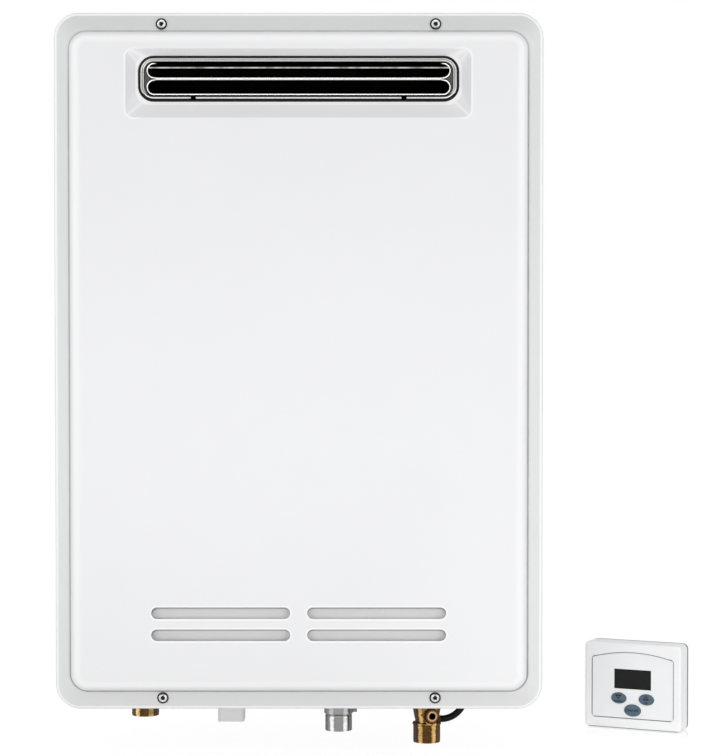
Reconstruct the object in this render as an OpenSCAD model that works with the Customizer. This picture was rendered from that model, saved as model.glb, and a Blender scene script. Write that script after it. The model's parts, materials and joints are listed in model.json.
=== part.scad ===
// Outdoor tankless gas water heater with its wired remote controller.
// The back of the unit lies on the wall plane y = 0, the front faces -Y and +Z is up.
// The origin is midway between the two keyholes of the wall hanger.

/* [Casing] */
// Width of the front cover
case_w = 372; // [355:1:420]
// Height of the front cover
case_h = 530.5; // [500:0.5:600]
// Depth from the wall to the front panel
case_d = 190; // [182:1:220]
// Corner radius of the front cover seen from the front
case_r = 19; // [16:0.5:24]
// Thickness of the casing sheet
sheet_t = 1; // [0.8:0.1:1.4]
// Clearance between nested sheets
sheet_fit = 0.3; // [0.2:0.05:0.5]

/* [Front cover] */
// Depth of the lip that folds back over the casing
lip_d = 14; // [10:1:20]
// Radius of the folded outer edge
lip_r = 2.5; // [1.8:0.1:4]
// Width of the flat flange at the sides
flange_side = 11.2; // [10.5:0.1:15]
// Width of the flat flange at the top
flange_top = 14; // [12.5:0.1:16]
// Width of the flat flange at the bottom
flange_bottom = 13.7; // [12.5:0.1:16]
// Corner radius at the foot of the raised panel
panel_r = 14; // [12:0.5:18]
// Rise of the raised panel and radius of its rounded edge
panel_rise = 10; // [7:0.5:11]
// Thickness of the gasket under the flange
gasket_t = 2; // [1:0.5:3]
// Width of the casing flange that carries the gasket
seat_w = 11; // [10:0.5:11.5]
// Distance of the cover screws from the middle
screw_x = 104; // [60:1:140]
// Distance of the cover screws from the edge of the cover
screw_inset = 8.7; // [8.2:0.1:9]
// Head radius of the cover screws
screw_head_r = 4.3; // [3.6:0.1:4.4]
// Shank radius of the cover screws
screw_r = 2; // [1.5:0.1:2.4]

/* [Air slots] */
// Length of an air slot
slot_len = 105.6; // [80:0.1:110]
// Height of an air slot
slot_h = 8.9; // [6:0.1:10]
// Gap between the left and right slots
slot_gap = 12.9; // [8:0.1:20]
// Distance between the two rows of slots
slot_pitch = 16.8; // [13:0.1:20]
// Height of the lower row above the bottom of the cover
slot_low = 57.9; // [50:0.1:70]
// Distance of the baffle behind the slots
baffle_gap = 9; // [8:0.5:10]

/* [Exhaust outlet] */
// Distance of the outlet from the top of the cover
exhaust_drop = 50; // [48:0.5:60]
// Width of the sloped recess at the panel
recess_w = 262; // [256:1:276]
// Height of the sloped recess at the panel
recess_h = 52; // [48:1:58]
// Corner radius of the sloped recess at the panel
recess_r = 6.5; // [5:0.5:12]
// How far the recess sits lower than the outlet
recess_low = 4.4; // [2:0.1:5]
// Depth of the sloped recess
recess_d = 10; // [9:0.5:14]
// Width of the window at the foot of the recess
window_w = 244; // [236:1:250]
// Height of the window at the foot of the recess
window_h = 35; // [33:0.5:40]
// Corner radius of the window
window_r = 12; // [10:0.5:15]
// Gap between the window and the grille
grille_gap = 1.5; // [1:0.1:2]
// Radius of the rolled edge around the grille
bead_r = 1.7; // [1.2:0.1:2]
// Margin between the vents and the edge of the grille
vent_side = 6; // [5:0.5:20]
// Height of an exhaust vent
vent_h = 9.6; // [8:0.1:10]
// Distance between the two exhaust vents
vent_pitch = 12.6; // [12.2:0.1:14]
// Radius of the rolled edge around each vent
vent_bead_r = 0.7; // [0.4:0.05:0.7]

/* [Wall mounting] */
// Height of the cover's top above the keyholes
hang_top = 60; // [50:1:80]
// Depth of the mounting rails
rail_d = 18; // [14:1:24]
// Length of the mounting rails
rail_len = 300; // [260:1:330]
// Height of a rail's raised face
rail_face_h = 36; // [32:1:50]
// Height of each rail foot
rail_foot_h = 12; // [10:1:16]
// Thickness of the rails
rail_t = 1.5; // [1.2:0.1:2.5]
// Distance between the two keyholes
key_span = 200; // [120:1:240]
// Radius of a keyhole's entry
key_r = 7; // [5:0.5:8]
// Width of a keyhole's slot
key_slot_w = 7; // [5:0.5:8]
// Length of a keyhole's slot above the entry
key_slot_len = 12; // [9:0.5:14]
// Height of the lower rail above the bottom of the cover
spacer_low = 60; // [45:1:90]
// Radius of the lower rail's fixing holes
spacer_hole_r = 3.5; // [2.5:0.5:5]

/* [Pipe fittings] */
// Outer radius of the half-inch pipe threads
thread_r = 10.67; // [9.5:0.01:12]
// Bore radius of the fittings
bore_r = 5.6; // [4.6:0.1:5.8]
// Distance of the fittings from the wall
fitting_y = 95; // [90:1:104]
// Position of the hot outlet across the unit
hot_x = -125; // [-130:0.5:-116]
// Position of the gas inlet across the unit
gas_x = 29.5; // [20:0.5:36]
// Position of the cold inlet across the unit
cold_x = 100; // [94:0.5:106]
// How far the hot outlet reaches below the cover
hot_drop = 18.6; // [16:0.1:30]
// How far the gas inlet reaches below the cover
gas_drop = 30.6; // [28:0.1:42]
// How far the cold inlet reaches below the cover
cold_drop = 40.1; // [38:0.1:50]
// Length of the threaded end of the cold inlet
cold_thread = 14.5; // [10:0.5:14.5]
// Position of the cable shield across the unit
shield_x = -56; // [-66:0.5:-46]
// Width of the cable shield
shield_w = 20.8; // [18:0.1:30]
// How far the cable shield reaches below the cover
shield_drop = 22.3; // [20:0.1:32]

/* [Water and gas pipes] */
// Radius of the copper water pipes
water_r = 6.5; // [6:0.1:7]
// Wall of the copper water pipes
water_t = 0.9; // [0.6:0.1:1.2]
// Bend radius of the pipes along their middle
bend_r = 10; // [9.5:0.1:12]
// Distance of the risers from the side of the cover
riser_inset = 25; // [20:0.5:27]
// Radius of the gas riser
riser_r = 7; // [6:0.1:8]

/* [Heat section] */
// Width of the heat section
heat_w = 246; // [242:1:248]
// Depth of the heat section
heat_d = 100; // [92:1:104]
// Distance of the heat section from the wall
heat_back = 40; // [32:1:44]
// Width of the joining lips of the heat section
joint_lip = 5; // [4:0.5:6]
// Rise of the hood above the middle of the outlet
hood_rise = 24; // [20:1:30]
// Height of the flue hood
hood_h = 70; // [62:1:80]
// Height of the heat exchanger
exchanger_h = 50; // [44:1:60]
// Height of the combustion chamber
chamber_h = 100; // [85:1:105]
// Height of the burner box
burner_h = 55; // [50:1:60]
// Number of exchanger tubes
tube_count = 5; // [5:2:5]
// Distance of the outer exchanger tubes from the jacket's face
tube_side = 10; // [9:0.1:12]
// Number of exchanger fins
fin_count = 22; // [12:1:28]
// Thickness of an exchanger fin
fin_t = 0.6; // [0.4:0.1:1]
// Number of burner bars
bar_count = 11; // [7:1:12]
// Thickness of a burner bar
bar_t = 10; // [8:0.5:12]
// Height of a burner bar
bar_h = 38; // [30:1:40]

/* [Fan] */
// Position of the fan across the unit
fan_x = -54; // [-56:0.5:-52]
// Distance of the fan scroll from the wall
fan_back = 62; // [58:1:66]
// Width of the fan scroll
scroll_w = 54; // [46:1:58]
// Radius at the tongue of the fan scroll
scroll_r = 44; // [42:0.5:46]
// Growth of the fan scroll over its turn
scroll_growth = 18; // [14:0.5:19]
// Distance of the fan axis below the burner box
fan_drop = 72; // [70:1:78]
// Outer radius of the fan wheel
wheel_r = 38; // [32:0.5:39]
// Width of the fan wheel
wheel_w = 40; // [34:1:42]
// Number of fan blades
blade_count = 24; // [16:1:32]
// Radius of the fan shaft
shaft_r = 3; // [2.5:0.1:4]
// Radius of the fan motor
motor_r = 28; // [24:0.5:30]
// Length of the fan motor
motor_len = 34; // [28:1:36]
// Radial clearance of running fits
run_fit = 0.05; // [0.03:0.01:0.08]

/* [Flow sensor] */
// Outer radius of the flow sensor
sensor_r = 13; // [12:0.5:14]
// Length of the flow sensor
sensor_len = 44; // [38:1:50]
// Bore radius of the flow sensor
sensor_bore = 8.5; // [8:0.1:9]
// Radius of the turbine wheel
turbine_r = 7.8; // [6.5:0.1:7.9]
// Length of the turbine wheel
turbine_len = 10; // [8:0.5:14]
// Radius of the turbine axle
axle_r = 1; // [0.8:0.1:1.5]

/* [Electronics] */
// Width of the board tray
tray_w = 120; // [110:1:126]
// Height of the board tray
tray_h = 104; // [96:1:108]
// Depth of the board tray
tray_d = 26; // [22:1:30]
// Wall of the board tray
tray_t = 2; // [1.5:0.1:3]
// Position of the board tray across the unit
tray_x = 70; // [64:0.5:74]
// Gap between the burner box and the board tray
tray_gap = 14; // [10:1:20]
// Length of the stand-offs behind the board tray
standoff_len = 12; // [8:1:16]

/* [Remote controller] */
// Width of the controller
remote_w = 83; // [78:0.5:96]
// Height of the controller
remote_h = 71; // [69:0.5:84]
// Depth of the controller
remote_d = 20; // [18:0.5:26]
// Depth of the controller's back shell
remote_back_d = 6; // [5:0.5:8]
// Corner radius of the controller
remote_r = 4.5; // [3:0.5:6]
// Wall of the controller shells
remote_t = 2.4; // [2.2:0.1:3]
// Turn of the controller away from the wall
remote_turn = 25; // [0:1:40]
// Position of the controller across the wall
remote_x = 275; // [262:1:320]
// Distance of the controller's middle from the wall
remote_y = 32; // [30:1:50]
// Width of the key panel
panel_w = 70.5; // [66:0.5:72]
// Height of the key panel at its sides
panel_h = 51; // [50:0.5:52]
// Rise of the key panel's arched top
panel_arch = 4; // [2:0.5:5]
// Height of the key panel's lower edge
panel_low = 8.5; // [7:0.5:10]
// Thickness of the key panel
panel_t = 1.2; // [1:0.1:1.6]
// Width of the display
display_w = 31.7; // [26:0.1:40]
// Height of the display
display_h = 16.3; // [12:0.1:17]
// Height of the display's middle
display_z = 41.2; // [40:0.1:43]
// Distance of the arrow buttons from the middle
arrow_x = 11.9; // [10:0.1:16]
// Height of the arrow buttons
arrow_z = 25.2; // [24.5:0.1:26]
// Width of an arrow button
arrow_w = 12.8; // [10:0.1:14]
// Height of an arrow button
arrow_h = 8.8; // [7:0.1:9]
// Height of the power button
power_z = 15.6; // [15:0.1:16]
// Width of the power button
power_w = 14.1; // [11:0.1:15]
// Height of the power button's face
power_h = 9.6; // [8:0.1:10]
// Travel of a button
button_travel = 0.8; // [0.4:0.1:1]
// How far a button stands out of the key panel
button_proud = 1.2; // [1:0.1:1.6]
// Clearance around a button
button_fit = 0.3; // [0.2:0.05:0.5]

/* [Hidden] */
$fn = 64;

// Small overlap that lets a cutter pass cleanly through a face
over = 0.05;

// Levels of the casing
z_top = hang_top;
z_bot = z_top - case_h;
z_mid = (z_top + z_bot) / 2;
exhaust_z = z_top - exhaust_drop;
flange_d = case_d - panel_rise;

// Outline of the raised panel
panel_out_w = case_w - 2 * flange_side;
panel_out_h = case_h - flange_top - flange_bottom;
panel_mid = z_mid + (flange_bottom - flange_top) / 2;

// Outline of the wrap, which nests inside the lip of the cover
wrap_inset = sheet_t + sheet_fit;
wrap_w = case_w - 2 * wrap_inset;
wrap_h = case_h - 2 * wrap_inset;
wrap_r = case_r - wrap_inset;
wrap_front = flange_d - sheet_t - gasket_t;
floor_z = z_bot + wrap_inset + sheet_t;

// Outline of the back panel, which nests inside the wrap
back_inset = sheet_t + sheet_fit;
back_w = wrap_w - 2 * back_inset;
back_h = wrap_h - 2 * back_inset;
back_r = wrap_r - back_inset;
back_in = rail_d + sheet_t;
back_rim = 12;

// Cover screws
screw_hole_r = screw_r + 0.3;
screw_head_h = 2.2;
screw_rim_h = 0.8;
screw_cap_r = 0.75 * screw_head_r;
screw_len = 12;
screw_spots = [for (sx = [-1, 1], sz = [z_bot + screw_inset, z_top - screw_inset]) [sx * screw_x, sz]];
clip_w = 12;
clip_h = 7;
clip_t = 1.5;
screw_dome_r = 5;
cross_len = 3.8;
cross_w = 1.3;
cross_d = 1.6;

// Gasket between the lip's fold and the raised panel
gasket_inset = lip_r + sheet_fit;
gasket_w = seat_w + wrap_inset - gasket_inset - 0.5;

// Air slots
slot_turn = 3;
baffle_side = 8;
baffle_low = 12;

// Exhaust grille
grille_w = window_w - 2 * grille_gap;
grille_h = window_h - 2 * grille_gap;
grille_r = window_r - grille_gap;
vent_len = grille_w - 2 * vent_side;
window_return = 3;
grille_d = case_d - recess_d - 2;
collar_inset = 1;
collar_w = grille_w - 2 * collar_inset;
collar_h = grille_h - 2 * collar_inset;
collar_r = grille_r - collar_inset;
heat_front = heat_back + heat_d;
collar_len = 0.6 * (grille_d - sheet_t - heat_front);
duct_short = 6;
duct_w = collar_w - 2 * (sheet_t + sheet_fit);
duct_h = collar_h - 2 * (sheet_t + sheet_fit);
duct_r = collar_r - sheet_t - sheet_fit;
drain_x = 80;
drain_w = 4;
vane_d = 0.7 * collar_len;
vane_z = vent_pitch / 2 + vent_h / 2 - 3;
vane_tab = 1.5;
vane_len = vent_len + 2 * vane_tab;
ring_w = 6;
ring_d = 8;

// Rails
spacer_z = z_bot + spacer_low;
rivet_r = 2;
rivet_head_r = 3.4;
rivet_head_h = 1.1;
rivet_fit = 0.05;
rivet_spots = [
    for (rail_z = [0, spacer_z], sx = [-1, 1], sz = [-1, 1])
        [sx * (rail_len / 2 - 20), rail_z + sz * (rail_face_h + rail_foot_h) / 2]
];

// Pressed beads of the back panel, between the rails
press_r = 6;
press_sink = 2;
press_end = 15;
press_xs = [for (side = [-1:1]) side * (rail_len / 2 - 10)];
press_top = -rail_face_h / 2 - rail_foot_h - press_end;
press_low = spacer_z + rail_face_h / 2 + rail_foot_h + press_end;

// Screws that hold the back panel in the wrap
case_screw_r = 1.6;
case_head_r = 3.6;
case_head_h = 1.2;
case_dome_r = 7;
case_cross_d = 0.8;
case_screw_len = 8;
case_screw_d = rail_d + back_rim / 2;
case_screw_x = 0.3 * case_w;
case_screw_z = 0.36 * case_h;

// Levels of the heat section, hung below the exhaust outlet
hood_top = exhaust_z + hood_rise;
exchanger_top = hood_top - hood_h;
chamber_top = exchanger_top - exchanger_h;
burner_top = chamber_top - chamber_h;
burner_bot = burner_top - burner_h;
heat_mid = heat_back + heat_d / 2;
tube_z = exchanger_top - exchanger_h / 2;
tube_end = heat_w / 2 + 12;
tube_fit = 0.05;
turn_x = heat_w / 2 + 4;
tube_pitch = (heat_d - 2 * tube_side) / (tube_count - 1);
function tube_y(i) = -heat_mid + ((tube_count - 1) / 2 - i) * tube_pitch;
bar_pitch = (heat_w - 2 * sheet_t - 4) / bar_count;
nozzle_z = burner_bot + 14;
nozzle_r = 2.6;
manifold_gap = 6;
manifold_d = 14;
manifold_h = 18;
manifold_y = -(heat_front + manifold_gap + manifold_d / 2);
manifold_w = heat_w - 20;
tab_w = 8;
function bar_x(k) = (k - (bar_count - 1) / 2) * bar_pitch;
bar_fit = 0.15;
bar_low = 8;
venturi_d = 24;
port_count = 8;
port_w = 3;
port_d = 4;
fin_edge = 8;
bracket_x = 70;
bracket_w = 40;
bracket_h = 40;
bracket_foot = 10;
spark_xs = [-46, -30];
flame_x = 34;
probe_z = burner_top + 16;
ceramic_r = 3;
probe_in = 10;
igniter = [46, 24, 32];
igniter_x = heat_w / 2 - igniter[0] - 21;

// Fittings
plate_t = 1.5;
plate_z = floor_z + plate_t;
fitting_fit = 0.3;
lead_hole_r = 4.5;
cable_hole_r = 6.5;
nut_r = 15.5;
stem_r = 9.5;
thread_relief = 0.4;
hot_thread_top = z_bot - 2;
plate_margin = 20;
plug_socket_r = 2.6;
plug_socket_d = 6;
plug_len = 6.5;
lug_w = 6;
lug_low = 16;
lug_h = 12;
lug_reach = 14.7;
shield_d = 12;
shield_r = 3;
shield_back = 9;
shield_ear = 8;
grommet_t = 1.5;
grommet_lip = 2;
cable_bore_r = 3.5;
remote_cable_r = 5;
nut_h = 9;
hot_top = plate_z + 22;
socket_len = 8;
cold_body_r = 10.9;
cold_neck_r = 9;
cold_cone = 14;
cold_top = plate_z + 16;
boss_r = 7.4;
boss_face_r = 6;
boss_step = 2;
boss_z = z_bot - 17.7;
boss_len = 14;
boss_turn = 15;
plug_r = 3.9;
plug_head_r = 4.9;
plug_head_h = 1.6;
lead_r = 2.7;
lead_bend = 10;
lead_z = z_bot - 22;
lead_out = 30.5;
lead_x = cold_x + lead_out;
lead_boss_r = 3.2;
lead_start = cold_x + cold_neck_r + 2;
lead_swoop = lead_x - lead_start - 0.5;
gas_collar_r = 11.5;
gas_collar_low = z_bot - 17.9;
gas_edge = 1.2;
gas_groove = 0.8;
gas_groove_r = 10;
gas_top = plate_z + 20;
valve_w = 48;
valve_d = 44;
valve_h = 54;
valve_bot = gas_top;
valve_top = valve_bot + valve_h;
dome_r = 14;
dome_h = 5;
coil_x = 12.5;
coil_r = 10;
coil_len = 20;
riser_turn = burner_bot - 22;

// Flow sensor and the runs of the pipes
sensor_bot = cold_top;
sensor_top = sensor_bot + sensor_len;
turbine_z = sensor_bot + sensor_len / 2;
turbine_pitch = 25;
spider_gap = 0.4;
spider_t = 2;
axle_half = turbine_len / 2 + spider_gap + spider_t;
pipe_side = case_w / 2 - riser_inset;
cold_run_z = sensor_top + 16;
hot_run_z = hot_top + 16;

// Fan
fan_z = burner_bot - fan_drop;
scroll_t = 1.5;
scroll_max = scroll_r + scroll_growth;
chute_w = 46;
wheel_back = fan_back + (scroll_w - wheel_w) / 2;
inlet_r = 29;
chute_lip = 4;
bearing_gap = 2;
hub_r = 8;
blade_t = 1;
blade_len = 8;
blade_turn = 25;

// Board tray
tray_top = burner_bot - tray_gap;
tray_mid = tray_top - tray_h / 2;
tray_back = back_in + standoff_len;
board_t = 1.6;
board_seat = 6;
board_back_y = tray_back + tray_t + board_seat;
board_front_y = board_back_y + board_t;
standoff_r = 4;
standoff_in = 12;
relay = [10, 9, 16];
relay_spot = [14, 22];
relay_pitch = 13;
can_r = 4;
can_len = 11;
can_spot = [-44, -36];
sink = [26, 12, 3];
sink_spot = [20, -12];
sink_fin = [2, 9, 22];
core = [34, 20, 26];
winding = [22, 24, 36];
core_spot = [-46, 3];
block = [46, 12, 14];
block_spot = [2, -44];
pole_pitch = 10.6;

// Remote controller
floor_level = z_bot - cold_drop;
remote_edge = 2;
remote_split = -remote_d / 2 + remote_back_d;
key_sunk = 0.4;
key_front = remote_d / 2 - key_sunk;
key_rear = key_front - panel_t;
key_fit = 0.15;
key_ledge = 1.2;
key_r_corner = 3;
arch_dip = 0.2;
arch_inset = 1;
board_z = 1;
board_gap = 1;
switch_h = 3.5;
plunger_h = 0.5;
button_flange = 0.8;
button_flange_t = 1;
stem_end = board_z + switch_h + plunger_h + button_travel + 0.2;
remote_in = [remote_w - 2 * remote_t, remote_h - 2 * remote_t, remote_r - remote_t];
post_x = remote_w / 2 - 9;
post_z = remote_h / 2 - 9;
wall_hole_x = 23;
wall_hole_r = 2.2;
cable_slot_z = 12;

// Rounded rectangle centred on its middle
module round_rect(w, h, r) {
    square([w - 2 * r, h], center = true);
    square([w, h - 2 * r], center = true);
    for (sx = [-1, 1], sy = [-1, 1])
        translate([sx * (w / 2 - r), sy * (h / 2 - r)])
            circle(r);
}

// Slot with round ends
module stadium(len, h) {
    square([len - h, h], center = true);
    for (sx = [-1, 1])
        translate([sx * (len - h) / 2, 0])
            circle(h / 2);
}

// Frame between two rounded rectangles
module round_frame(w, h, r, band)
    difference() {
        round_rect(w, h, r);
        round_rect(w - 2 * band, h - 2 * band, r - band);
    }

// Stands a shape drawn flat on the wall: its height then points to the front
module stand(depth, z = 0)
    translate([0, -depth, z])
        rotate([90, 0, 0])
            children();

// Sweeps a profile around a rectangle with quarter turns at its corners
module rim(half_w, half_h)
    for (turn = [0:3])
        rotate(90 * turn) {
            a = turn % 2 == 0 ? half_w : half_h;
            b = turn % 2 == 0 ? half_h : half_w;
            translate([a, b, 0]) {
                rotate([90, 0, 0])
                    linear_extrude(2 * b)
                        children();
                rotate_extrude(angle = 90)
                    children();
            }
        }

// Quarter of a ring in the first quadrant
module quarter_band(r, t)
    intersection() {
        difference() {
            circle(r);
            circle(r - t);
        }
        square(r + 1);
    }

// Cylinder that starts at a depth and points to the front
module peg(x, z, depth, r, len)
    translate([x, -depth, z])
        rotate([90, 0, 0])
            cylinder(r = r, h = len);

// Bend at a point of a path, where one bend serves all points or each has its own
function bend_at(bend, i) = is_list(bend) ? bend[i] : bend;

// Round rod along a path whose turns are all right angles
module rod_path(points, r, bend) {
    last = len(points) - 1;
    for (i = [0:last - 1]) {
        step = points[i + 1] - points[i];
        d = step / norm(step);
        start = i == 0 ? 0 : bend_at(bend, i);
        end = norm(step) - (i == last - 1 ? 0 : bend_at(bend, i + 1));
        u = [d[1], d[2], d[0]];
        v = cross(d, u);
        if (end - start > 0.01)
            multmatrix([for (k = [0:2]) [u[k], v[k], d[k], points[i][k] + d[k] * start]])
                cylinder(r = r, h = end - start);
    }
    for (i = [1:1:last - 1]) {
        a = (points[i] - points[i - 1]) / norm(points[i] - points[i - 1]);
        b = (points[i + 1] - points[i]) / norm(points[i + 1] - points[i]);
        n = cross(a, b);
        turn_r = bend_at(bend, i);
        c = points[i] + turn_r * (b - a);
        multmatrix([for (k = [0:2]) [-b[k], a[k], n[k], c[k]]])
            rotate_extrude(angle = 90)
                translate([turn_r, 0])
                    circle(r);
    }
}

// Hollow pipe along such a path, open at both ends
module tube_path(points, r, t, bend) {
    last = len(points) - 1;
    head = (points[0] - points[1]) / norm(points[0] - points[1]);
    tail = (points[last] - points[last - 1]) / norm(points[last] - points[last - 1]);
    longer = [for (i = [0:last]) points[i] + (i == 0 ? head : i == last ? tail : 0 * head)];
    difference() {
        rod_path(points, r, bend);
        rod_path(longer, r - t, bend);
    }
}

// Folded sheet duct with open ends and joining lips
module duct_box(top, h, lips = true)
    translate([0, -heat_mid, top - h])
        difference() {
            union() {
                translate([-heat_w / 2, -heat_d / 2, 0])
                    cube([heat_w, heat_d, h]);
                if (lips)
                    for (lip_z = [0, h - sheet_t])
                        translate([-heat_w / 2 - joint_lip, -heat_d / 2 - joint_lip, lip_z])
                            cube([heat_w + 2 * joint_lip, heat_d + 2 * joint_lip, sheet_t]);
            }
            translate([-heat_w / 2 + sheet_t, -heat_d / 2 + sheet_t, -1])
                cube([heat_w - 2 * sheet_t, heat_d - 2 * sheet_t, h + 2]);
        }

// Keeps the holes for the fittings in line in every sheet that they pass
module fitting_holes() {
    for (hole = [
        [hot_x, thread_r + fitting_fit], [gas_x, gas_collar_r + fitting_fit],
        [cold_x, cold_body_r + fitting_fit], [lead_x, lead_hole_r], [shield_x, cable_hole_r]
    ])
        translate([hole[0], -fitting_y, floor_z - sheet_t - 1])
            cylinder(r = hole[1], h = sheet_t + plate_t + 2);
}

// Round holes for the cover screws through a sheet that starts at a depth
module screw_holes(depth, t, r)
    for (spot = screw_spots)
        peg(spot[0], spot[1], depth - 1, r, t + 2);

// Round holes for the rivets through a sheet that starts at a depth
module rivet_holes(depth, t)
    for (spot = rivet_spots)
        peg(spot[0], spot[1], depth - 1, rivet_r + rivet_fit, t + 2);

// Hat section with its feet at x = 0 and its face at x = depth
module hat(face, foot, depth, t) {
    translate([depth - t, -face / 2])
        square([t, face]);
    for (side = [0, 1])
        mirror([0, side]) {
            translate([0, face / 2 - t])
                square([depth, t]);
            translate([0, face / 2 - t])
                square([t, foot + t]);
        }
}

// Rods with round ends along which the back panel's beads are pressed
module press_rods(r)
    for (x = press_xs)
        translate([x, -rail_d - press_sink, press_low]) {
            cylinder(r = r, h = press_top - press_low);
            for (end = [0, press_top - press_low])
                translate([0, 0, end])
                    sphere(r);
        }

// Places a shape where each casing screw sits on the wrap, pointing outwards
module at_case_screws() {
    for (sx = [-1, 1], k = [-1:1])
        translate([sx * wrap_w / 2, -case_screw_d, z_mid + k * case_screw_z])
            rotate([0, 90 * sx, 0])
                children();
    for (sx = [-1, 1], sz = [-1, 1])
        translate([sx * case_screw_x, -case_screw_d, z_mid + sz * wrap_h / 2])
            rotate([sz > 0 ? 0 : 180, 0, 0])
                children();
}

// Tray with pressed beads that closes the casing at the wall
module back_panel() color("gainsboro")
    difference() {
        union() {
            stand(rail_d, z_mid) {
                linear_extrude(sheet_t)
                    round_rect(back_w, back_h, back_r);
                linear_extrude(back_rim)
                    round_frame(back_w, back_h, back_r, sheet_t);
            }
            intersection() {
                press_rods(press_r);
                translate([-back_w / 2, -rail_d - sheet_t / 2, z_bot])
                    cube([back_w, rail_d, case_h]);
            }
        }
        press_rods(press_r - sheet_t);
        rivet_holes(rail_d, sheet_t);
        at_case_screws()
            translate([0, 0, -4 * sheet_t])
                cylinder(r = case_screw_r + tube_fit, h = 4 * sheet_t);
    }

// Sides, top and bottom of the casing with the flange that carries the cover
module case_wrap() color("whitesmoke")
    difference() {
        union() {
            stand(rail_d, z_mid)
                linear_extrude(wrap_front - rail_d)
                    round_frame(wrap_w, wrap_h, wrap_r, sheet_t);
            stand(wrap_front - sheet_t, z_mid)
                linear_extrude(sheet_t)
                    round_frame(wrap_w, wrap_h, wrap_r, seat_w);
        }
        screw_holes(wrap_front - sheet_t, sheet_t, screw_hole_r);
        fitting_holes();
        at_case_screws()
            translate([0, 0, -2 * sheet_t])
                cylinder(r = case_screw_r + sheet_fit, h = 3 * sheet_t);
    }

// Ten screws that hold the wrap on the back panel's rim
module case_screws() color("silver")
    at_case_screws()
        difference() {
            union() {
                rotate_extrude()
                    intersection() {
                        square([case_head_r, case_head_h]);
                        translate([0, case_head_h - case_dome_r])
                            circle(case_dome_r);
                    }
                translate([0, 0, -case_screw_len])
                    cylinder(r = case_screw_r, h = case_screw_len + over);
            }
            for (turn = [0, 90])
                rotate(turn)
                    translate([-cross_len / 2, -cross_w / 2, case_head_h - case_cross_d])
                        cube([cross_len, cross_w, case_cross_d + 1]);
        }

// Fold of the cover's outer edge, drawn from the middle of a corner
module lip_profile() {
    translate([case_r - lip_r, -lip_r])
        quarter_band(lip_r, sheet_t);
    translate([case_r - sheet_t, -lip_d])
        square([sheet_t, lip_d - lip_r]);
}

// Funnel between the recess outline at the panel and the window behind it
module recess_funnel(grow, top, bottom)
    hull() {
        translate([0, exhaust_z - recess_low, top])
            linear_extrude(over)
                round_rect(recess_w + 2 * grow, recess_h + 2 * grow, recess_r + grow, $fn = 32);
        translate([0, exhaust_z, bottom])
            linear_extrude(over)
                round_rect(window_w + 2 * grow, window_h + 2 * grow, window_r + grow, $fn = 32);
    }

// Places a shape at each of the four air slots
module at_slots()
    for (sx = [-1, 1], row = [0, 1])
        translate([sx * (slot_gap + slot_len) / 2, z_bot + slot_low + row * slot_pitch])
            children();

// Pressed cover: lip, flange, raised panel, sloped recess and turned-in air slots
module front_cover() {
    recess_bot = panel_rise - recess_d;
    color("white")
        stand(flange_d)
            difference() {
                union() {
                    translate([0, z_mid, 0])
                        rim(case_w / 2 - case_r, case_h / 2 - case_r)
                            lip_profile();
                    translate([0, 0, -sheet_t])
                        linear_extrude(sheet_t)
                            difference() {
                                translate([0, z_mid])
                                    round_rect(case_w - 2 * lip_r, case_h - 2 * lip_r, case_r - lip_r);
                                translate([0, panel_mid])
                                    round_rect(panel_out_w - 2 * sheet_t, panel_out_h - 2 * sheet_t,
                                        panel_r - sheet_t);
                            }
                    translate([0, panel_mid, 0])
                        rim(panel_out_w / 2 - panel_r, panel_out_h / 2 - panel_r)
                            translate([panel_r - panel_rise, 0])
                                quarter_band(panel_rise, sheet_t);
                    translate([0, panel_mid, panel_rise - sheet_t])
                        linear_extrude(sheet_t)
                            round_rect(panel_out_w - 2 * panel_rise, panel_out_h - 2 * panel_rise,
                                panel_r - panel_rise);
                    recess_funnel(sheet_t, panel_rise - sheet_t / 2, recess_bot);
                    translate([0, exhaust_z, recess_bot - window_return])
                        linear_extrude(window_return + over)
                            round_rect(window_w + 2 * sheet_t, window_h + 2 * sheet_t, window_r + sheet_t);
                    translate([0, 0, panel_rise - slot_turn])
                        linear_extrude(slot_turn - sheet_t / 2)
                            at_slots()
                                stadium(slot_len + 2 * sheet_t, slot_h + 2 * sheet_t);
                }
                recess_funnel(0, panel_rise, recess_bot - over);
                translate([0, exhaust_z, recess_bot - window_return - 1])
                    linear_extrude(window_return + 1 + over)
                        round_rect(window_w, window_h, window_r);
                translate([0, 0, panel_rise - slot_turn - 1])
                    linear_extrude(slot_turn + 2)
                        at_slots()
                            stadium(slot_len, slot_h);
                for (spot = screw_spots)
                    translate([spot[0], spot[1], -sheet_t - 1])
                        cylinder(r = screw_hole_r, h = sheet_t + 2);
            }
}

// Soft seal between the cover's flange and the casing
module cover_gasket() color("dimgray")
    difference() {
        stand(wrap_front, z_mid)
            linear_extrude(gasket_t)
                round_frame(case_w - 2 * gasket_inset, case_h - 2 * gasket_inset,
                    case_r - gasket_inset, gasket_w);
        screw_holes(wrap_front, gasket_t, screw_hole_r);
    }

// Four domed screws with a rim and a cross recess
module cover_screws() color("silver")
    for (spot = screw_spots)
        translate([spot[0], -flange_d, spot[1]])
            rotate([90, 0, 0])
                difference() {
                    union() {
                        rotate_extrude() {
                            square([screw_head_r, screw_rim_h]);
                            intersection() {
                                square([screw_cap_r, screw_head_h]);
                                translate([0, screw_head_h - screw_dome_r])
                                    circle(screw_dome_r);
                            }
                        }
                        translate([0, 0, -screw_len])
                            cylinder(r = screw_r, h = screw_len + over);
                    }
                    for (turn = [0, 90])
                        rotate(turn)
                            translate([-cross_len / 2, -cross_w / 2, screw_head_h - cross_d])
                                cube([cross_len, cross_w, cross_d + 1]);
                }

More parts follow.
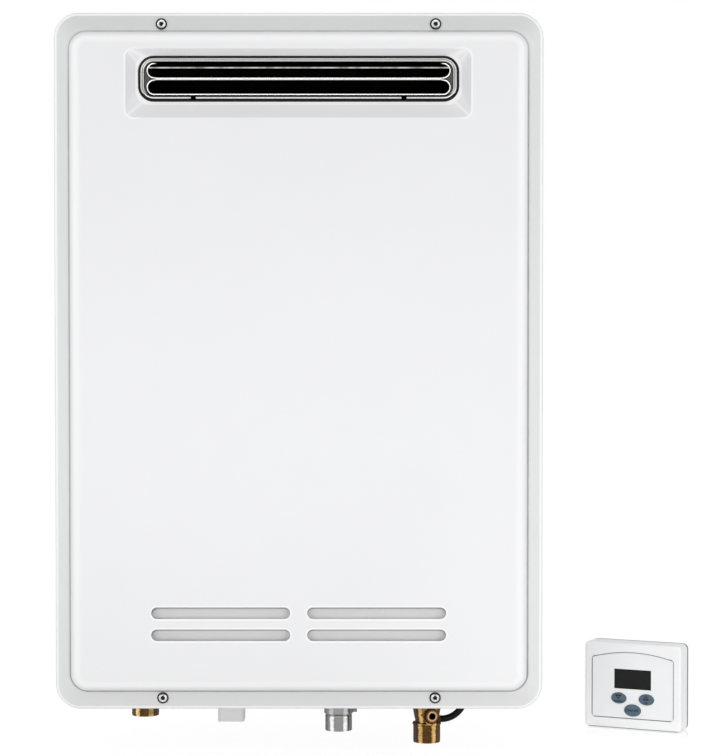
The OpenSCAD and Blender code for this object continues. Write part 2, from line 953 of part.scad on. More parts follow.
// Clip nuts behind the casing flange
module screw_clips() color("darkgray")
    difference() {
        for (spot = screw_spots)
            translate([spot[0] - clip_w / 2, -(wrap_front - sheet_t), spot[1] - clip_h / 2])
                cube([clip_w, clip_t, clip_h]);
        screw_holes(wrap_front - sheet_t - clip_t, clip_t, screw_r + tube_fit);
    }

// Rolled edge around a stadium
module stadium_bead(len, h, r) {
    for (sy = [-1, 1])
        translate([-(len - h) / 2, sy * (h / 2 + r), 0])
            rotate([0, 90, 0])
                cylinder(r = r, h = len - h);
    for (turn = [0, 180])
        rotate(turn)
            translate([(len - h) / 2, 0, 0])
                rotate(-90)
                    rotate_extrude(angle = 180)
                        translate([h / 2 + r, 0])
                            circle(r);
}

// Stainless outlet with a rolled rim, two rolled vents, a deflector and a collar
module exhaust_grille() color("silver")
    stand(grille_d, exhaust_z)
        difference() {
            union() {
                rim(grille_w / 2 - grille_r, grille_h / 2 - grille_r)
                    translate([grille_r - bead_r, bead_r - sheet_t])
                        circle(bead_r);
                translate([0, 0, -sheet_t])
                    linear_extrude(sheet_t)
                        difference() {
                            round_rect(grille_w - 2 * bead_r, grille_h - 2 * bead_r, grille_r - bead_r);
                            for (sy = [-1, 1])
                                translate([0, sy * vent_pitch / 2])
                                    stadium(vent_len, vent_h);
                        }
                for (sy = [-1, 1])
                    translate([0, sy * vent_pitch / 2, 0])
                        stadium_bead(vent_len, vent_h, vent_bead_r);
                translate([0, 0, -sheet_t - collar_len])
                    linear_extrude(collar_len)
                        round_frame(collar_w, collar_h, collar_r, sheet_t);
                translate([-vane_len / 2, vane_z, -sheet_t - vane_d])
                    cube([vane_len, sheet_t, vane_d]);
            }
            for (sx = [-1, 1])
                translate([sx * drain_x - drain_w / 2, -grille_h / 2 - 1, over])
                    cube([drain_w, 2 * bead_r + 1, 2 * bead_r]);
        }

// Foam ring that closes the gap between the cover's window and the collar
module exhaust_gasket() color("black")
    stand(case_d - recess_d - window_return - sheet_fit - ring_d, exhaust_z)
        linear_extrude(ring_d)
            round_frame(collar_w + 2 * (ring_w + sheet_fit), collar_h + 2 * (ring_w + sheet_fit),
                collar_r + ring_w + sheet_fit, ring_w);

// Hooded plate behind the air slots, open at its lower edge
module inlet_baffle() {
    w = 2 * slot_len + slot_gap + 2 * baffle_side;
    h = slot_pitch + slot_h + baffle_side + baffle_low;
    depth = case_d - sheet_t;
    color("lightgray")
        translate([-w / 2, -depth, z_bot + slot_low - slot_h / 2 - baffle_low])
            difference() {
                cube([w, baffle_gap + sheet_t, h]);
                translate([sheet_t, -1, -1])
                    cube([w - 2 * sheet_t, baffle_gap + 1, h + 1 - sheet_t]);
            }
}

// Upper hat rail with the two keyholes that hang the unit on the wall
module hanger_rail() color("lightsteelblue")
    difference() {
        translate([-rail_len / 2, -rail_d, 0])
            rotate([90, 0, 90])
                linear_extrude(rail_len)
                    hat(rail_face_h, rail_foot_h, rail_d, rail_t);
        for (sx = [-1, 1])
            translate([sx * key_span / 2, 1, 0])
                rotate([90, 0, 0]) {
                    cylinder(r = key_r, h = rail_t + 2);
                    translate([-key_slot_w / 2, 0, 0])
                        cube([key_slot_w, key_slot_len, rail_t + 2]);
                    translate([0, key_slot_len, 0])
                        cylinder(r = key_slot_w / 2, h = rail_t + 2);
                }
        rivet_holes(rail_d - rail_t, rail_t);
    }

// Lower hat rail that keeps the unit off the wall, with two fixing holes
module spacer_rail() color("lightsteelblue")
    difference() {
        translate([-rail_len / 2, -rail_d, spacer_z])
            rotate([90, 0, 90])
                linear_extrude(rail_len)
                    hat(rail_face_h, rail_foot_h, rail_d, rail_t);
        for (sx = [-1, 1])
            peg(sx * key_span / 2, spacer_z, -1, spacer_hole_r, rail_t + 2);
        rivet_holes(rail_d - rail_t, rail_t);
    }

// Blind rivets that hold both rails to the back panel
module rail_rivets() color("silver")
    for (spot = rivet_spots) {
        peg(spot[0], spot[1], rail_d - rail_t - rivet_head_h, rivet_head_r, rivet_head_h);
        peg(spot[0], spot[1], rail_d - rail_t - over, rivet_r, rail_t + sheet_t + 2 * over);
        peg(spot[0], spot[1], back_in, rivet_head_r, rivet_head_h);
    }

// Floor plate that carries the fittings
module pipe_plate() color("lightslategray")
    difference() {
        translate([hot_x - plate_margin, -fitting_y - plate_margin, floor_z])
            cube([lead_x - hot_x + 2 * plate_margin, 2 * plate_margin, plate_t]);
        fitting_holes();
    }

// Hexagon nut that clamps a fitting to the floor plate
module lock_nut()
    translate([0, 0, plate_z])
        cylinder(r = nut_r, h = nut_h, $fn = 6);

// Brass hot water outlet with a socket for the copper pipe
module hot_outlet() color("goldenrod")
    translate([hot_x, -fitting_y, 0])
        difference() {
            union() {
                translate([0, 0, z_bot - hot_drop])
                    cylinder(r = thread_r, h = hot_thread_top - z_bot + hot_drop);
                translate([0, 0, hot_thread_top - 1])
                    cylinder(r = thread_r - thread_relief, h = plate_z + nut_h - hot_thread_top);
                lock_nut();
                translate([0, 0, plate_z])
                    cylinder(r = stem_r, h = hot_top - plate_z);
            }
            translate([0, 0, z_bot - hot_drop - 1])
                cylinder(r = bore_r, h = hot_top - z_bot + hot_drop + 2);
            translate([0, 0, hot_top - socket_len])
                cylinder(r = water_r + tube_fit, h = socket_len + 1);
        }

// Places a shape at the cold inlet, turned to its drain boss
module at_boss()
    translate([cold_x, -fitting_y, 0])
        rotate(boss_turn)
            children();

// Brass cold water inlet with its drain boss at the front and lead boss at the side
module cold_inlet() {
    thread_top = z_bot - cold_drop + cold_thread;
    cone_low = z_bot - cold_cone;
    color("goldenrod")
        difference() {
            union() {
                translate([cold_x, -fitting_y, 0]) {
                    translate([0, 0, z_bot - cold_drop])
                        cylinder(r = thread_r, h = cold_thread);
                    translate([0, 0, thread_top - 1])
                        cylinder(r = cold_neck_r, h = cone_low - thread_top + 1);
                    translate([0, 0, cone_low])
                        cylinder(r1 = cold_neck_r, r2 = cold_body_r, h = cold_cone);
                    translate([0, 0, z_bot])
                        cylinder(r = cold_body_r, h = cold_top - z_bot);
                    lock_nut();
                    translate([0, 0, lead_z])
                        rotate([0, 90, 0])
                            cylinder(r = lead_boss_r, h = lead_start - cold_x);
                }
                at_boss() {
                    peg(0, boss_z, 0, boss_r, boss_len - boss_step, $fn = 6);
                    peg(0, boss_z, 0, boss_face_r, boss_len);
                }
            }
            translate([cold_x, -fitting_y, z_bot - cold_drop - 1])
                cylinder(r = bore_r, h = cold_top - z_bot + cold_drop + 2);
            at_boss()
                peg(0, boss_z, 0, plug_r + tube_fit, boss_len + 1);
        }
}

// Drain plug screwed into the front boss, with its head and key socket
module drain_plug() color("darkgoldenrod")
    at_boss()
        difference() {
            union() {
                peg(0, boss_z, bore_r + 1, plug_r, boss_len - bore_r - 1 + over);
                peg(0, boss_z, boss_len, plug_head_r, plug_head_h);
            }
            peg(0, boss_z, boss_len + plug_head_h - plug_socket_d, plug_socket_r, plug_socket_d + 1);
        }

// Plated gas inlet with a grooved collar and a lug
module gas_inlet() color("silver")
    translate([gas_x, -fitting_y, 0])
        difference() {
            union() {
                translate([0, 0, z_bot - gas_drop])
                    cylinder(r = thread_r, h = gas_drop + gas_collar_low - gas_groove - z_bot);
                translate([0, 0, gas_collar_low - gas_groove - 1])
                    cylinder(r = gas_groove_r, h = gas_groove + 2);
                translate([0, 0, gas_collar_low])
                    cylinder(r1 = gas_collar_r - gas_edge, r2 = gas_collar_r, h = gas_edge);
                translate([0, 0, gas_collar_low + gas_edge])
                    cylinder(r = gas_collar_r, h = plate_z + 1 - gas_collar_low - gas_edge);
                translate([0, -lug_w / 2, z_bot - lug_low])
                    cube([lug_reach, lug_w, lug_h]);
                lock_nut();
                translate([0, 0, plate_z])
                    cylinder(r = stem_r, h = gas_top - plate_z);
            }
            translate([0, 0, z_bot - gas_drop - 1])
                cylinder(r = bore_r, h = gas_top - z_bot + gas_drop + 2);
        }

// Black lead from the cold inlet through the floor to the flow sensor
module sensor_lead() color("black")
    rod_path([
        [lead_start, -fitting_y, lead_z], [lead_x, -fitting_y, lead_z],
        [lead_x, -fitting_y, turbine_z], [cold_x + sensor_r + plug_len, -fitting_y, turbine_z]
    ], lead_r, [0, lead_swoop, lead_bend, 0]);

// Folded sheet that shelters the cable entry below the casing
module cable_shield() color("lightgray")
    translate([shield_x, -fitting_y, 0]) {
        translate([0, 0, z_bot - shield_drop])
            linear_extrude(shield_drop + wrap_inset)
                difference() {
                    round_rect(shield_w, 2 * shield_d, shield_r);
                    round_rect(shield_w - 2 * sheet_t, 2 * (shield_d - sheet_t), shield_r - sheet_t);
                    translate([-shield_w, shield_back])
                        square([2 * shield_w, 2 * shield_d]);
                }
        for (side = [0, 1])
            mirror([side, 0, 0])
                translate([shield_w / 2 - sheet_t, -shield_ear / 2, z_bot + wrap_inset - sheet_t])
                    cube([shield_ear + sheet_t, shield_ear, sheet_t]);
    }

// Rubber grommet that seats in the floor, with a bore for a lead
module grommet(x, hole_r, inner_r) {
    neck_bot = floor_z - sheet_t;
    translate([x, -fitting_y, 0])
        difference() {
            union() {
                translate([0, 0, neck_bot - grommet_t])
                    cylinder(r = hole_r + grommet_lip, h = grommet_t);
                translate([0, 0, neck_bot - over])
                    cylinder(r = hole_r - over, h = plate_z - neck_bot + 2 * over);
                translate([0, 0, plate_z])
                    cylinder(r = hole_r + grommet_lip, h = grommet_t);
            }
            translate([0, 0, neck_bot - grommet_t - 1])
                cylinder(r = inner_r, h = plate_z - neck_bot + 2 * grommet_t + 2);
        }
}

// Grommets for the power and controller cables and for the sensor lead
module cable_grommets() color("black") {
    grommet(shield_x, cable_hole_r, cable_bore_r);
    grommet(lead_x, lead_hole_r, lead_r + tube_fit);
}

// Hood that turns the flue gas to the front outlet
module flue_hood() {
    duct_front = grille_d - sheet_t - duct_short;
    color("lightgray")
        difference() {
            union() {
                translate([-heat_w / 2, -heat_front, exchanger_top])
                    cube([heat_w, heat_d, hood_h]);
                translate([-heat_w / 2 - joint_lip, -heat_front - joint_lip, exchanger_top])
                    cube([heat_w + 2 * joint_lip, heat_d + 2 * joint_lip, sheet_t]);
                stand(heat_front - sheet_t, exhaust_z)
                    linear_extrude(duct_front - heat_front + sheet_t)
                        round_rect(duct_w, duct_h, duct_r);
            }
            translate([-heat_w / 2 + sheet_t, -heat_front + sheet_t, exchanger_top - 1])
                cube([heat_w - 2 * sheet_t, heat_d - 2 * sheet_t, hood_h + 1 - sheet_t]);
            stand(heat_front - sheet_t - 1, exhaust_z)
                linear_extrude(duct_front - heat_front + sheet_t + 2)
                    round_rect(duct_w - 2 * sheet_t, duct_h - 2 * sheet_t, duct_r - sheet_t);
        }
}

// Copper jacket around the fins and tubes
module exchanger_jacket() color("peru")
    difference() {
        duct_box(exchanger_top, exchanger_h);
        for (i = [0:tube_count - 1])
            translate([-heat_w / 2 - 1, tube_y(i), tube_z])
                rotate([0, 90, 0])
                    cylinder(r = water_r + tube_fit, h = heat_w + 2);
    }

// Copper fins threaded on the tubes
module exchanger_fins() {
    pitch = (heat_w - 2 * sheet_t - fin_edge) / fin_count;
    fin = [heat_d - 2 * (sheet_t + sheet_fit), exchanger_h - fin_edge];
    color("chocolate")
        for (k = [0:fin_count - 1])
            translate([(k - (fin_count - 1) / 2) * pitch, -heat_mid, tube_z])
                rotate([90, 0, 90])
                    linear_extrude(fin_t, center = true)
                        difference() {
                            square(fin, center = true);
                            for (i = [0:tube_count - 1])
                                translate([tube_y(i) + heat_mid, 0])
                                    circle(water_r + tube_fit);
                        }
}

// One copper tube that runs back and forth through the fins
module exchanger_tubes() {
    turn_r = tube_pitch / 2;
    reach = turn_x + turn_r;
    route = [
        for (i = [0:tube_count - 1], end = [1, -1])
            let (side = end * (i % 2 == 0 ? 1 : -1))
            let (free = (i == 0 && end == 1) || (i == tube_count - 1 && end == -1))
                [side * (free ? tube_end : reach), tube_y(i), tube_z]
    ];
    color("peru")
        tube_path(route, water_r, water_t, turn_r);
}

// Sheet chamber above the burner with the openings for the electrodes
module combustion_chamber() color("silver")
    difference() {
        duct_box(chamber_top, chamber_h);
        for (x = concat(spark_xs, [flame_x]))
            peg(x, probe_z, heat_front - sheet_t - 1, ceramic_r + fitting_fit, sheet_t + 2);
    }

// Hat brackets that carry the chamber on the back panel
module heat_brackets() color("lightsteelblue")
    for (sx = [-1, 1])
        translate([sx * bracket_x, -back_in, chamber_top - chamber_h / 2 - bracket_h / 2])
            rotate(-90)
                linear_extrude(bracket_h)
                    hat(bracket_w, bracket_foot, heat_back - back_in, rail_t);

// Open box that holds the burner bars over the fan outlet
module burner_box() color("silver")
    difference() {
        translate([-heat_w / 2, -heat_front, burner_bot]) {
            cube([heat_w, heat_d, burner_h]);
            translate([-joint_lip, -joint_lip, burner_h - sheet_t])
                cube([heat_w + 2 * joint_lip, heat_d + 2 * joint_lip, sheet_t]);
        }
        translate([-heat_w / 2 + sheet_t, -heat_front + sheet_t, burner_bot + sheet_t])
            cube([heat_w - 2 * sheet_t, heat_d - 2 * sheet_t, burner_h]);
        translate([fan_x - scroll_max + scroll_t, -fan_back - scroll_w + scroll_t, burner_bot - 1])
            cube([chute_w - 2 * scroll_t, scroll_w - 2 * scroll_t, sheet_t + 2]);
        for (k = [0:bar_count - 1])
            peg(bar_x(k), nozzle_z, heat_front - sheet_t - 1, nozzle_r + fitting_fit, sheet_t + 2);
    }

// Flat burner bars with a venturi mouth at the front and flame ports on top
module burner_bars() {
    half = bar_t / 2;
    bar_len = heat_d - 2 * (sheet_t + bar_fit);
    port_pitch = bar_len / port_count;
    color("lightsteelblue")
        for (k = [0:bar_count - 1])
            difference() {
                stand(heat_back + sheet_t + bar_fit)
                    translate([bar_x(k), burner_bot + bar_low, 0])
                        linear_extrude(bar_len)
                            polygon([
                                [-half, 0], [half, 0], [half, bar_h * 0.45], [half * 0.6, bar_h * 0.6],
                                [half, bar_h * 0.8], [half, bar_h], [-half, bar_h], [-half, bar_h * 0.8],
                                [-half * 0.6, bar_h * 0.6], [-half, bar_h * 0.45]
                            ]);
                peg(bar_x(k), nozzle_z, heat_front - venturi_d, nozzle_r + 1.2, venturi_d + 1);
                for (j = [0:port_count - 1])
                    translate([
                        bar_x(k) - half * 0.6,
                        -heat_mid + (j - (port_count - 1) / 2) * port_pitch - port_w / 2,
                        burner_bot + bar_low + bar_h - port_d
                    ])
                        cube([half * 1.2, port_w, port_d + 1]);
            }
}

// Gas rail with one nozzle for each burner bar
module gas_manifold() color("goldenrod") {
    translate([-manifold_w / 2, manifold_y - manifold_d / 2, nozzle_z - manifold_h / 2])
        difference() {
            cube([manifold_w, manifold_d, manifold_h]);
            translate([gas_x + manifold_w / 2, manifold_d / 2, -1])
                cylinder(r = riser_r - water_t, h = manifold_h / 2);
        }
    for (k = [0:bar_count - 1])
        peg(bar_x(k), nozzle_z, heat_front - sheet_t, nozzle_r, manifold_gap + sheet_t + over);
    for (sx = [-1, 1])
        translate([sx * (manifold_w - tab_w) / 2, -heat_front, nozzle_z + manifold_h / 2 - tab_w / 2])
            rotate([90, 0, 0])
                linear_extrude(manifold_gap + over)
                    square(tab_w, center = true);
}

// Gas pipe from the valve up to the gas rail
module gas_riser() color("silver")
    tube_path([
        [gas_x, -fitting_y, valve_top - socket_len], [gas_x, -fitting_y, riser_turn],
        [gas_x, manifold_y, riser_turn], [gas_x, manifold_y, nozzle_z - manifold_h / 2]
    ], riser_r, water_t, bend_r);

// Cast gas valve block with its regulator dome
module gas_valve() color("darkgray")
    difference() {
        union() {
            translate([gas_x - valve_w / 2, -fitting_y - valve_d / 2, valve_bot])
                cube([valve_w, valve_d, valve_h]);
            translate([gas_x - valve_w / 2 + over, -fitting_y, valve_bot + valve_h / 2])
                rotate([0, -90, 0])
                    cylinder(r1 = dome_r, r2 = dome_r * 0.6, h = dome_h);
            translate([gas_x, -fitting_y, valve_top - over])
                cylinder(r = riser_r + 3, h = 3);
        }
        translate([gas_x, -fitting_y, valve_bot - 1])
            cylinder(r = bore_r, h = valve_h);
        translate([gas_x, -fitting_y, valve_top - socket_len])
            cylinder(r = riser_r + tube_fit, h = socket_len + 4);
    }

// Solenoid coils on the front of the gas valve
module gas_solenoids() color("navy")
    for (sx = [-1, 1])
        translate([gas_x + sx * coil_x, -fitting_y - valve_d / 2, valve_bot + valve_h / 2])
            rotate([90, 0, 0]) {
                cylinder(r = coil_r, h = coil_len);
                translate([0, 0, coil_len - over])
                    cylinder(r = coil_r * 0.4, h = 3);
            }

// Spiral outline of the fan scroll with its chute up to the burner box
module scroll_outline(inset) {
    start = 160;
    sweep = 340;
    polygon([
        for (a = [start:-10:start - sweep])
            let (r = scroll_r + scroll_growth * (start - a) / sweep - inset)
                [fan_x + r * cos(a), fan_z + r * sin(a)]
    ]);
    translate([fan_x - scroll_max + inset, fan_z])
        square([chute_w - 2 * inset, fan_drop + (inset > 0 ? 1 : 0)]);
}

// Scroll housing with an open inlet at the front
module fan_housing() color("gray")
    difference() {
        union() {
            stand(fan_back)
                linear_extrude(scroll_w)
                    scroll_outline(0);
            translate([fan_x - scroll_max, -fan_back - scroll_w, burner_bot - scroll_t])
                translate([-chute_lip, -chute_lip, 0])
                    cube([chute_w + 2 * chute_lip, scroll_w + 2 * chute_lip, scroll_t]);
        }
        stand(fan_back + scroll_t)
            linear_extrude(scroll_w - 2 * scroll_t)
                scroll_outline(scroll_t);
        peg(fan_x, fan_z, fan_back + scroll_w - scroll_t - 1, inlet_r, scroll_t + 2);
        peg(fan_x, fan_z, fan_back - 1, shaft_r + bearing_gap, scroll_t + 2);
    }

// Motor can on the back of the scroll with the bearing bore for the shaft
module fan_motor() color("dimgray")
    difference() {
        union() {
            peg(fan_x, fan_z, fan_back - motor_len, motor_r, motor_len);
            for (turn = [0, 120, 240])
                translate([fan_x, -fan_back, fan_z])
                    rotate([0, turn, 0])
                        translate([motor_r - 2, 0, -5])
                            cube([9, 2, 10]);
        }
        peg(fan_x, fan_z, fan_back - motor_len + 4, shaft_r + run_fit, motor_len);
    }

// Steel shaft from the motor through the fan wheel
module fan_shaft() color("silver")
    peg(fan_x, fan_z, fan_back - motor_len + 6, shaft_r, motor_len - 6 + (scroll_w + wheel_w) / 2);

// Squirrel-cage fan wheel
module fan_impeller() color("darkslategray")
    translate([fan_x, -wheel_back, fan_z])
        rotate([90, 0, 0])
            difference() {
                union() {
                    cylinder(r = wheel_r, h = 1.5);
                    cylinder(r = hub_r, h = wheel_w - 6);
                    translate([0, 0, wheel_w - 2])
                        difference() {
                            cylinder(r = wheel_r, h = 2);
                            translate([0, 0, -1])
                                cylinder(r = wheel_r - blade_len, h = 4);
                        }
                    for (k = [0:blade_count - 1])
                        rotate(k * 360 / blade_count)
                            translate([wheel_r - 1.5, 0, 1])
                                rotate(blade_turn)
                                    translate([-blade_len, -blade_t / 2, 0])
                                        cube([blade_len, blade_t, wheel_w - 2]);
                }
                translate([0, 0, -1])
                    cylinder(r = shaft_r + 0.02, h = wheel_w + 2);
            }

// Flow sensor body with its plug for the lead
module flow_sensor() color("dimgray")
    translate([cold_x, -fitting_y, sensor_bot])
        difference() {
            union() {
                cylinder(r = sensor_r, h = sensor_len);
                translate([0, -6, sensor_len / 2 - 5])
                    cube([sensor_r + plug_len, 12, 10]);
            }
            translate([0, 0, -1])
                cylinder(r = sensor_bore, h = sensor_len - socket_len - 1);
            translate([0, 0, sensor_len - socket_len - 3])
                cylinder(r = bore_r, h = 4);
            translate([0, 0, sensor_len - socket_len])
                cylinder(r = water_r + tube_fit, h = socket_len + 1);
        }

// Axle of the flow turbine with a spider at each end
module turbine_axle() color("silver")
    translate([cold_x, -fitting_y, turbine_z]) {
        translate([0, 0, -axle_half])
            cylinder(r = axle_r, h = 2 * axle_half);
        for (end = [-axle_half, axle_half - spider_t], turn = [0, 120, 240])
            translate([0, 0, end])
                rotate(turn)
                    translate([0, -0.6, 0])
                        cube([sensor_bore - tube_fit, 1.2, spider_t]);
    }

// Turbine wheel of the flow sensor
module flow_turbine() color("white")
    translate([cold_x, -fitting_y, turbine_z - turbine_len / 2])
        difference() {
            union() {
                cylinder(r = 3, h = turbine_len);
                for (k = [0:4])
                    rotate(k * 72)
                        translate([2, 0, turbine_len / 2])
                            rotate([turbine_pitch, 0, 0])
                                translate([0, -0.5, -turbine_len / 2 + 1])
                                    cube([turbine_r - 2.4, 1, turbine_len - 2]);
            }
            translate([0, 0, -1])
                cylinder(r = axle_r + run_fit, h = turbine_len + 2);
        }

// Copper pipe from the flow sensor up to the exchanger
module cold_pipe() color("peru")
    tube_path([
        [cold_x, -fitting_y, sensor_top - socket_len], [cold_x, -fitting_y, cold_run_z],
        [pipe_side, -fitting_y, cold_run_z], [pipe_side, -fitting_y, tube_z],
        [pipe_side, tube_y(0), tube_z], [tube_end, tube_y(0), tube_z]
    ], water_r, water_t, bend_r);

// Copper pipe from the exchanger down to the hot outlet
module hot_pipe() color("peru")
    tube_path([
        [hot_x, -fitting_y, hot_top - socket_len], [hot_x, -fitting_y, hot_run_z],
        [-pipe_side, -fitting_y, hot_run_z], [-pipe_side, -fitting_y, tube_z],
        [-pipe_side, tube_y(tube_count - 1), tube_z], [-tube_end, tube_y(tube_count - 1), tube_z]
    ], water_r, water_t, bend_r);

// Plastic tray on stand-offs that holds the control board
module board_tray() color("darkslategray") {
    difference() {
        translate([tray_x - tray_w / 2, -tray_back - tray_d, tray_mid - tray_h / 2])
            cube([tray_w, tray_d, tray_h]);
        translate([tray_x - tray_w / 2 + tray_t, -tray_back - tray_d - 1, tray_mid - tray_h / 2 + tray_t])
            cube([tray_w - 2 * tray_t, tray_d + 1 - tray_t, tray_h - 2 * tray_t]);
    }
    for (sx = [-1, 1], sz = [-1, 1]) {
        x = tray_x + sx * (tray_w / 2 - standoff_in);
        z = tray_mid + sz * (tray_h / 2 - standoff_in);
        peg(x, z, back_in, standoff_r, standoff_len + over);
        peg(x, z, tray_back + tray_t - over, standoff_r, board_seat + over);
    }
}

// Control board with its relays, capacitors and heat sink
module control_board() {
    w = tray_w - 2 * (tray_t + sheet_fit);
    h = tray_h - 2 * (tray_t + sheet_fit);
    color("seagreen") {
        translate([tray_x - w / 2, -board_front_y, tray_mid - h / 2])
            cube([w, board_t, h]);
        for (k = [0:2])
            translate([tray_x + k * relay_pitch, -board_front_y, tray_mid])
                translate([relay_spot[0], -relay[1], relay_spot[1]])
                    cube(relay + [0, over, 0]);
        for (k = [0:3])
            translate([k * can_len, 0, 0])
                peg(tray_x + can_spot[0], tray_mid + can_spot[1], board_front_y - over, can_r, can_len);
        translate([tray_x + sink_spot[0], -board_front_y - sink[1], tray_mid + sink_spot[1]]) {
            cube(sink + [0, over, 0]);
            for (k = [0:4])
                translate([k * (sink[0] - sink_fin[0]) / 4, 0, 0])
                    cube(sink_fin);
        }
    }
}

// Mains transformer on the board
module transformer() color("darkgray")
    translate([tray_x + core_spot[0], -board_front_y, tray_mid + core_spot[1]]) {
        translate([0, -core[1], 0])
            cube(core);
        translate([(core[0] - winding[0]) / 2, -winding[1], (core[2] - winding[2]) / 2])
            cube(winding);
    }

// Terminal block for the supply and the controller cable
module terminal_block() color("black")
    translate([tray_x + block_spot[0], -board_front_y, tray_mid + block_spot[1]])
        difference() {
            translate([0, -block[1], 0])
                cube(block);
            for (k = [0:3])
                translate([block[0] / 2 + (k - 1.5) * pole_pitch, 1 - block[1], block[2] / 2])
                    rotate([90, 0, 0])
                        cylinder(r = 3, h = 3);
        }

// Spark generator on the front of the chamber
module igniter_module() color("black")
    translate([igniter_x, -heat_front - igniter[1], chamber_top - chamber_h / 2 - igniter[2] / 4])
        difference() {
            cube(igniter);
            for (k = [-1, 1])
                translate([igniter[0] / 2 + k * igniter[0] / 4, igniter[1] / 2, igniter[2] - 5])
                    cylinder(r = 3.5, h = 6);
        }

// Ceramic probe that passes through the chamber wall, with its wire tip
module probe(x, tip) {
    peg(x, probe_z, heat_front - probe_in, ceramic_r, probe_in + 12);
    peg(x, probe_z, heat_front - probe_in - tip, 1, tip + 1);
}

// Mounting flange of the probes on the chamber's front
module probe_flange(x0, x1)
    translate([x0 - 9, -heat_front - 2, probe_z - 9])
        cube([x1 - x0 + 18, 2, 18]);

// Pair of spark electrodes on one flange
module ignition_electrodes() color("antiquewhite") {
    probe_flange(spark_xs[0], spark_xs[1]);
    for (x = spark_xs)
        probe(x, 10);
}

// Flame sensing rod
module flame_rod() color("antiquewhite") {
    probe_flange(flame_x, flame_x);
    probe(flame_x, 26);
}

// Clip around a riser with a sensor or heater body beside it
module pipe_clip(x, z, h, body)
    translate([x, -fitting_y, z])
        difference() {
            union() {
                cylinder(r = water_r + 2.5, h = h);
                translate([-body / 2, -water_r - body, 0])
                    cube([body, body, h]);
            }
            translate([0, 0, -1])
                cylinder(r = water_r + 0.1, h = h + 2);
        }

// Temperature sensor clipped on the hot riser
module hot_thermistor() color("slategray")
    pipe_clip(-pipe_side, burner_top, 12, 7);

// Overheat switch on the exchanger jacket
module overheat_switch() color("black")
    translate([0, -heat_front, tube_z])
        rotate([90, 0, 0]) {
            cylinder(r = 9, h = 7);
            for (sx = [-1, 1])
                translate([sx * 4 - 0.4, -3, 7 - over])
                    cube([0.8, 6, 8]);
        }

// Frost heater clipped on the cold riser
module frost_heater() color("ivory")
    pipe_clip(pipe_side, burner_bot, 26, 10);

// Places a shape drawn in the controller's own frame
module at_remote()
    translate([remote_x, -remote_y, floor_level + remote_h / 2])
        rotate(-remote_turn)
            children();

// Slab with a rounded front edge
module soft_slab(w, h, r, t, edge) {
    linear_extrude(t - edge)
        round_rect(w, h, r);
    translate([0, 0, t - edge]) {
        linear_extrude(edge)
            round_rect(w - 2 * edge, h - 2 * edge, r - edge);
        rim(w / 2 - r, h / 2 - r)
            translate([r - edge, 0])
                intersection() {
                    circle(edge);
                    square(edge);
                }
    }
}

// Outline of the key panel with its arched top
module key_outline(grow) {
    chord = panel_w - 2 * (key_r_corner + arch_inset);
    arch_r = (chord * chord / 4 + panel_arch * panel_arch) / (2 * panel_arch);
    bottom = -remote_h / 2 + panel_low;
    translate([0, bottom + panel_h / 2])
        round_rect(panel_w + 2 * grow, panel_h + 2 * grow, key_r_corner + grow);
    intersection() {
        translate([0, bottom + panel_h + panel_arch - arch_r])
            circle(arch_r + grow, $fn = 160);
        translate([-panel_w / 2, bottom + panel_h + grow - arch_dip])
            square([panel_w, panel_arch + 1]);
    }
}

// Oval outline of a button
module oval(w, h)
    polygon([for (a = [0:7.5:352.5]) [w / 2 * cos(a), h / 2 * sin(a)]]);

// Moulded front shell with the ledge for the key panel
module remote_front() {
    depth = remote_d - remote_back_d;
    color("white")
        at_remote()
            stand(remote_split)
                difference() {
                    soft_slab(remote_w, remote_h, remote_r, depth, remote_edge);
                    translate([0, 0, -1])
                        linear_extrude(depth + 1 - remote_t)
                            round_rect(remote_in[0], remote_in[1], remote_in[2]);
                    translate([0, 0, key_rear - remote_split])
                        linear_extrude(remote_d)
                            key_outline(key_fit);
                    linear_extrude(remote_d)
                        key_outline(-key_ledge);
                }
}

// Back shell with board posts, wall holes and the cable entry
module remote_back() color("white")
    at_remote()
        stand(-remote_d / 2)
            difference() {
                union() {
                    difference() {
                        linear_extrude(remote_back_d)
                            round_rect(remote_w, remote_h, remote_r);
                        translate([0, 0, 2])
                            linear_extrude(remote_back_d)
                                round_rect(remote_in[0], remote_in[1], remote_in[2]);
                    }
                    for (sx = [-1, 1], sy = [-1, 1])
                        translate([sx * post_x, sy * post_z, 1])
                            cylinder(r = 3, h = remote_d / 2 + board_z - board_t - 1);
                }
                for (sx = [-1, 1])
                    translate([sx * wall_hole_x, 0, -1])
                        cylinder(r = wall_hole_r, h = 4);
                translate([0, -cable_slot_z, -1])
                    cylinder(r = remote_cable_r, h = 4);
            }

// Grey key panel with openings for the display and the buttons
module remote_panel() color("silver")
    at_remote()
        stand(key_rear)
            linear_extrude(panel_t)
                difference() {
                    key_outline(0);
                    translate([0, display_z - remote_h / 2])
                        square([display_w, display_h], center = true);
                    for (side = [-1, 1])
                        translate([side * arrow_x, arrow_z - remote_h / 2])
                            oval(arrow_w + 2 * button_fit, arrow_h + 2 * button_fit);
                    translate([0, power_z - remote_h / 2])
                        oval(power_w + 2 * button_fit, power_h + 2 * button_fit);
                }

// Display block that stands on the board behind its window
module remote_display() color("black")
    at_remote()
        stand(board_z)
            translate([0, display_z - remote_h / 2, 0])
                linear_extrude(key_front - board_z - 0.2)
                    square([display_w - 2 * key_fit, display_h - 2 * key_fit], center = true);

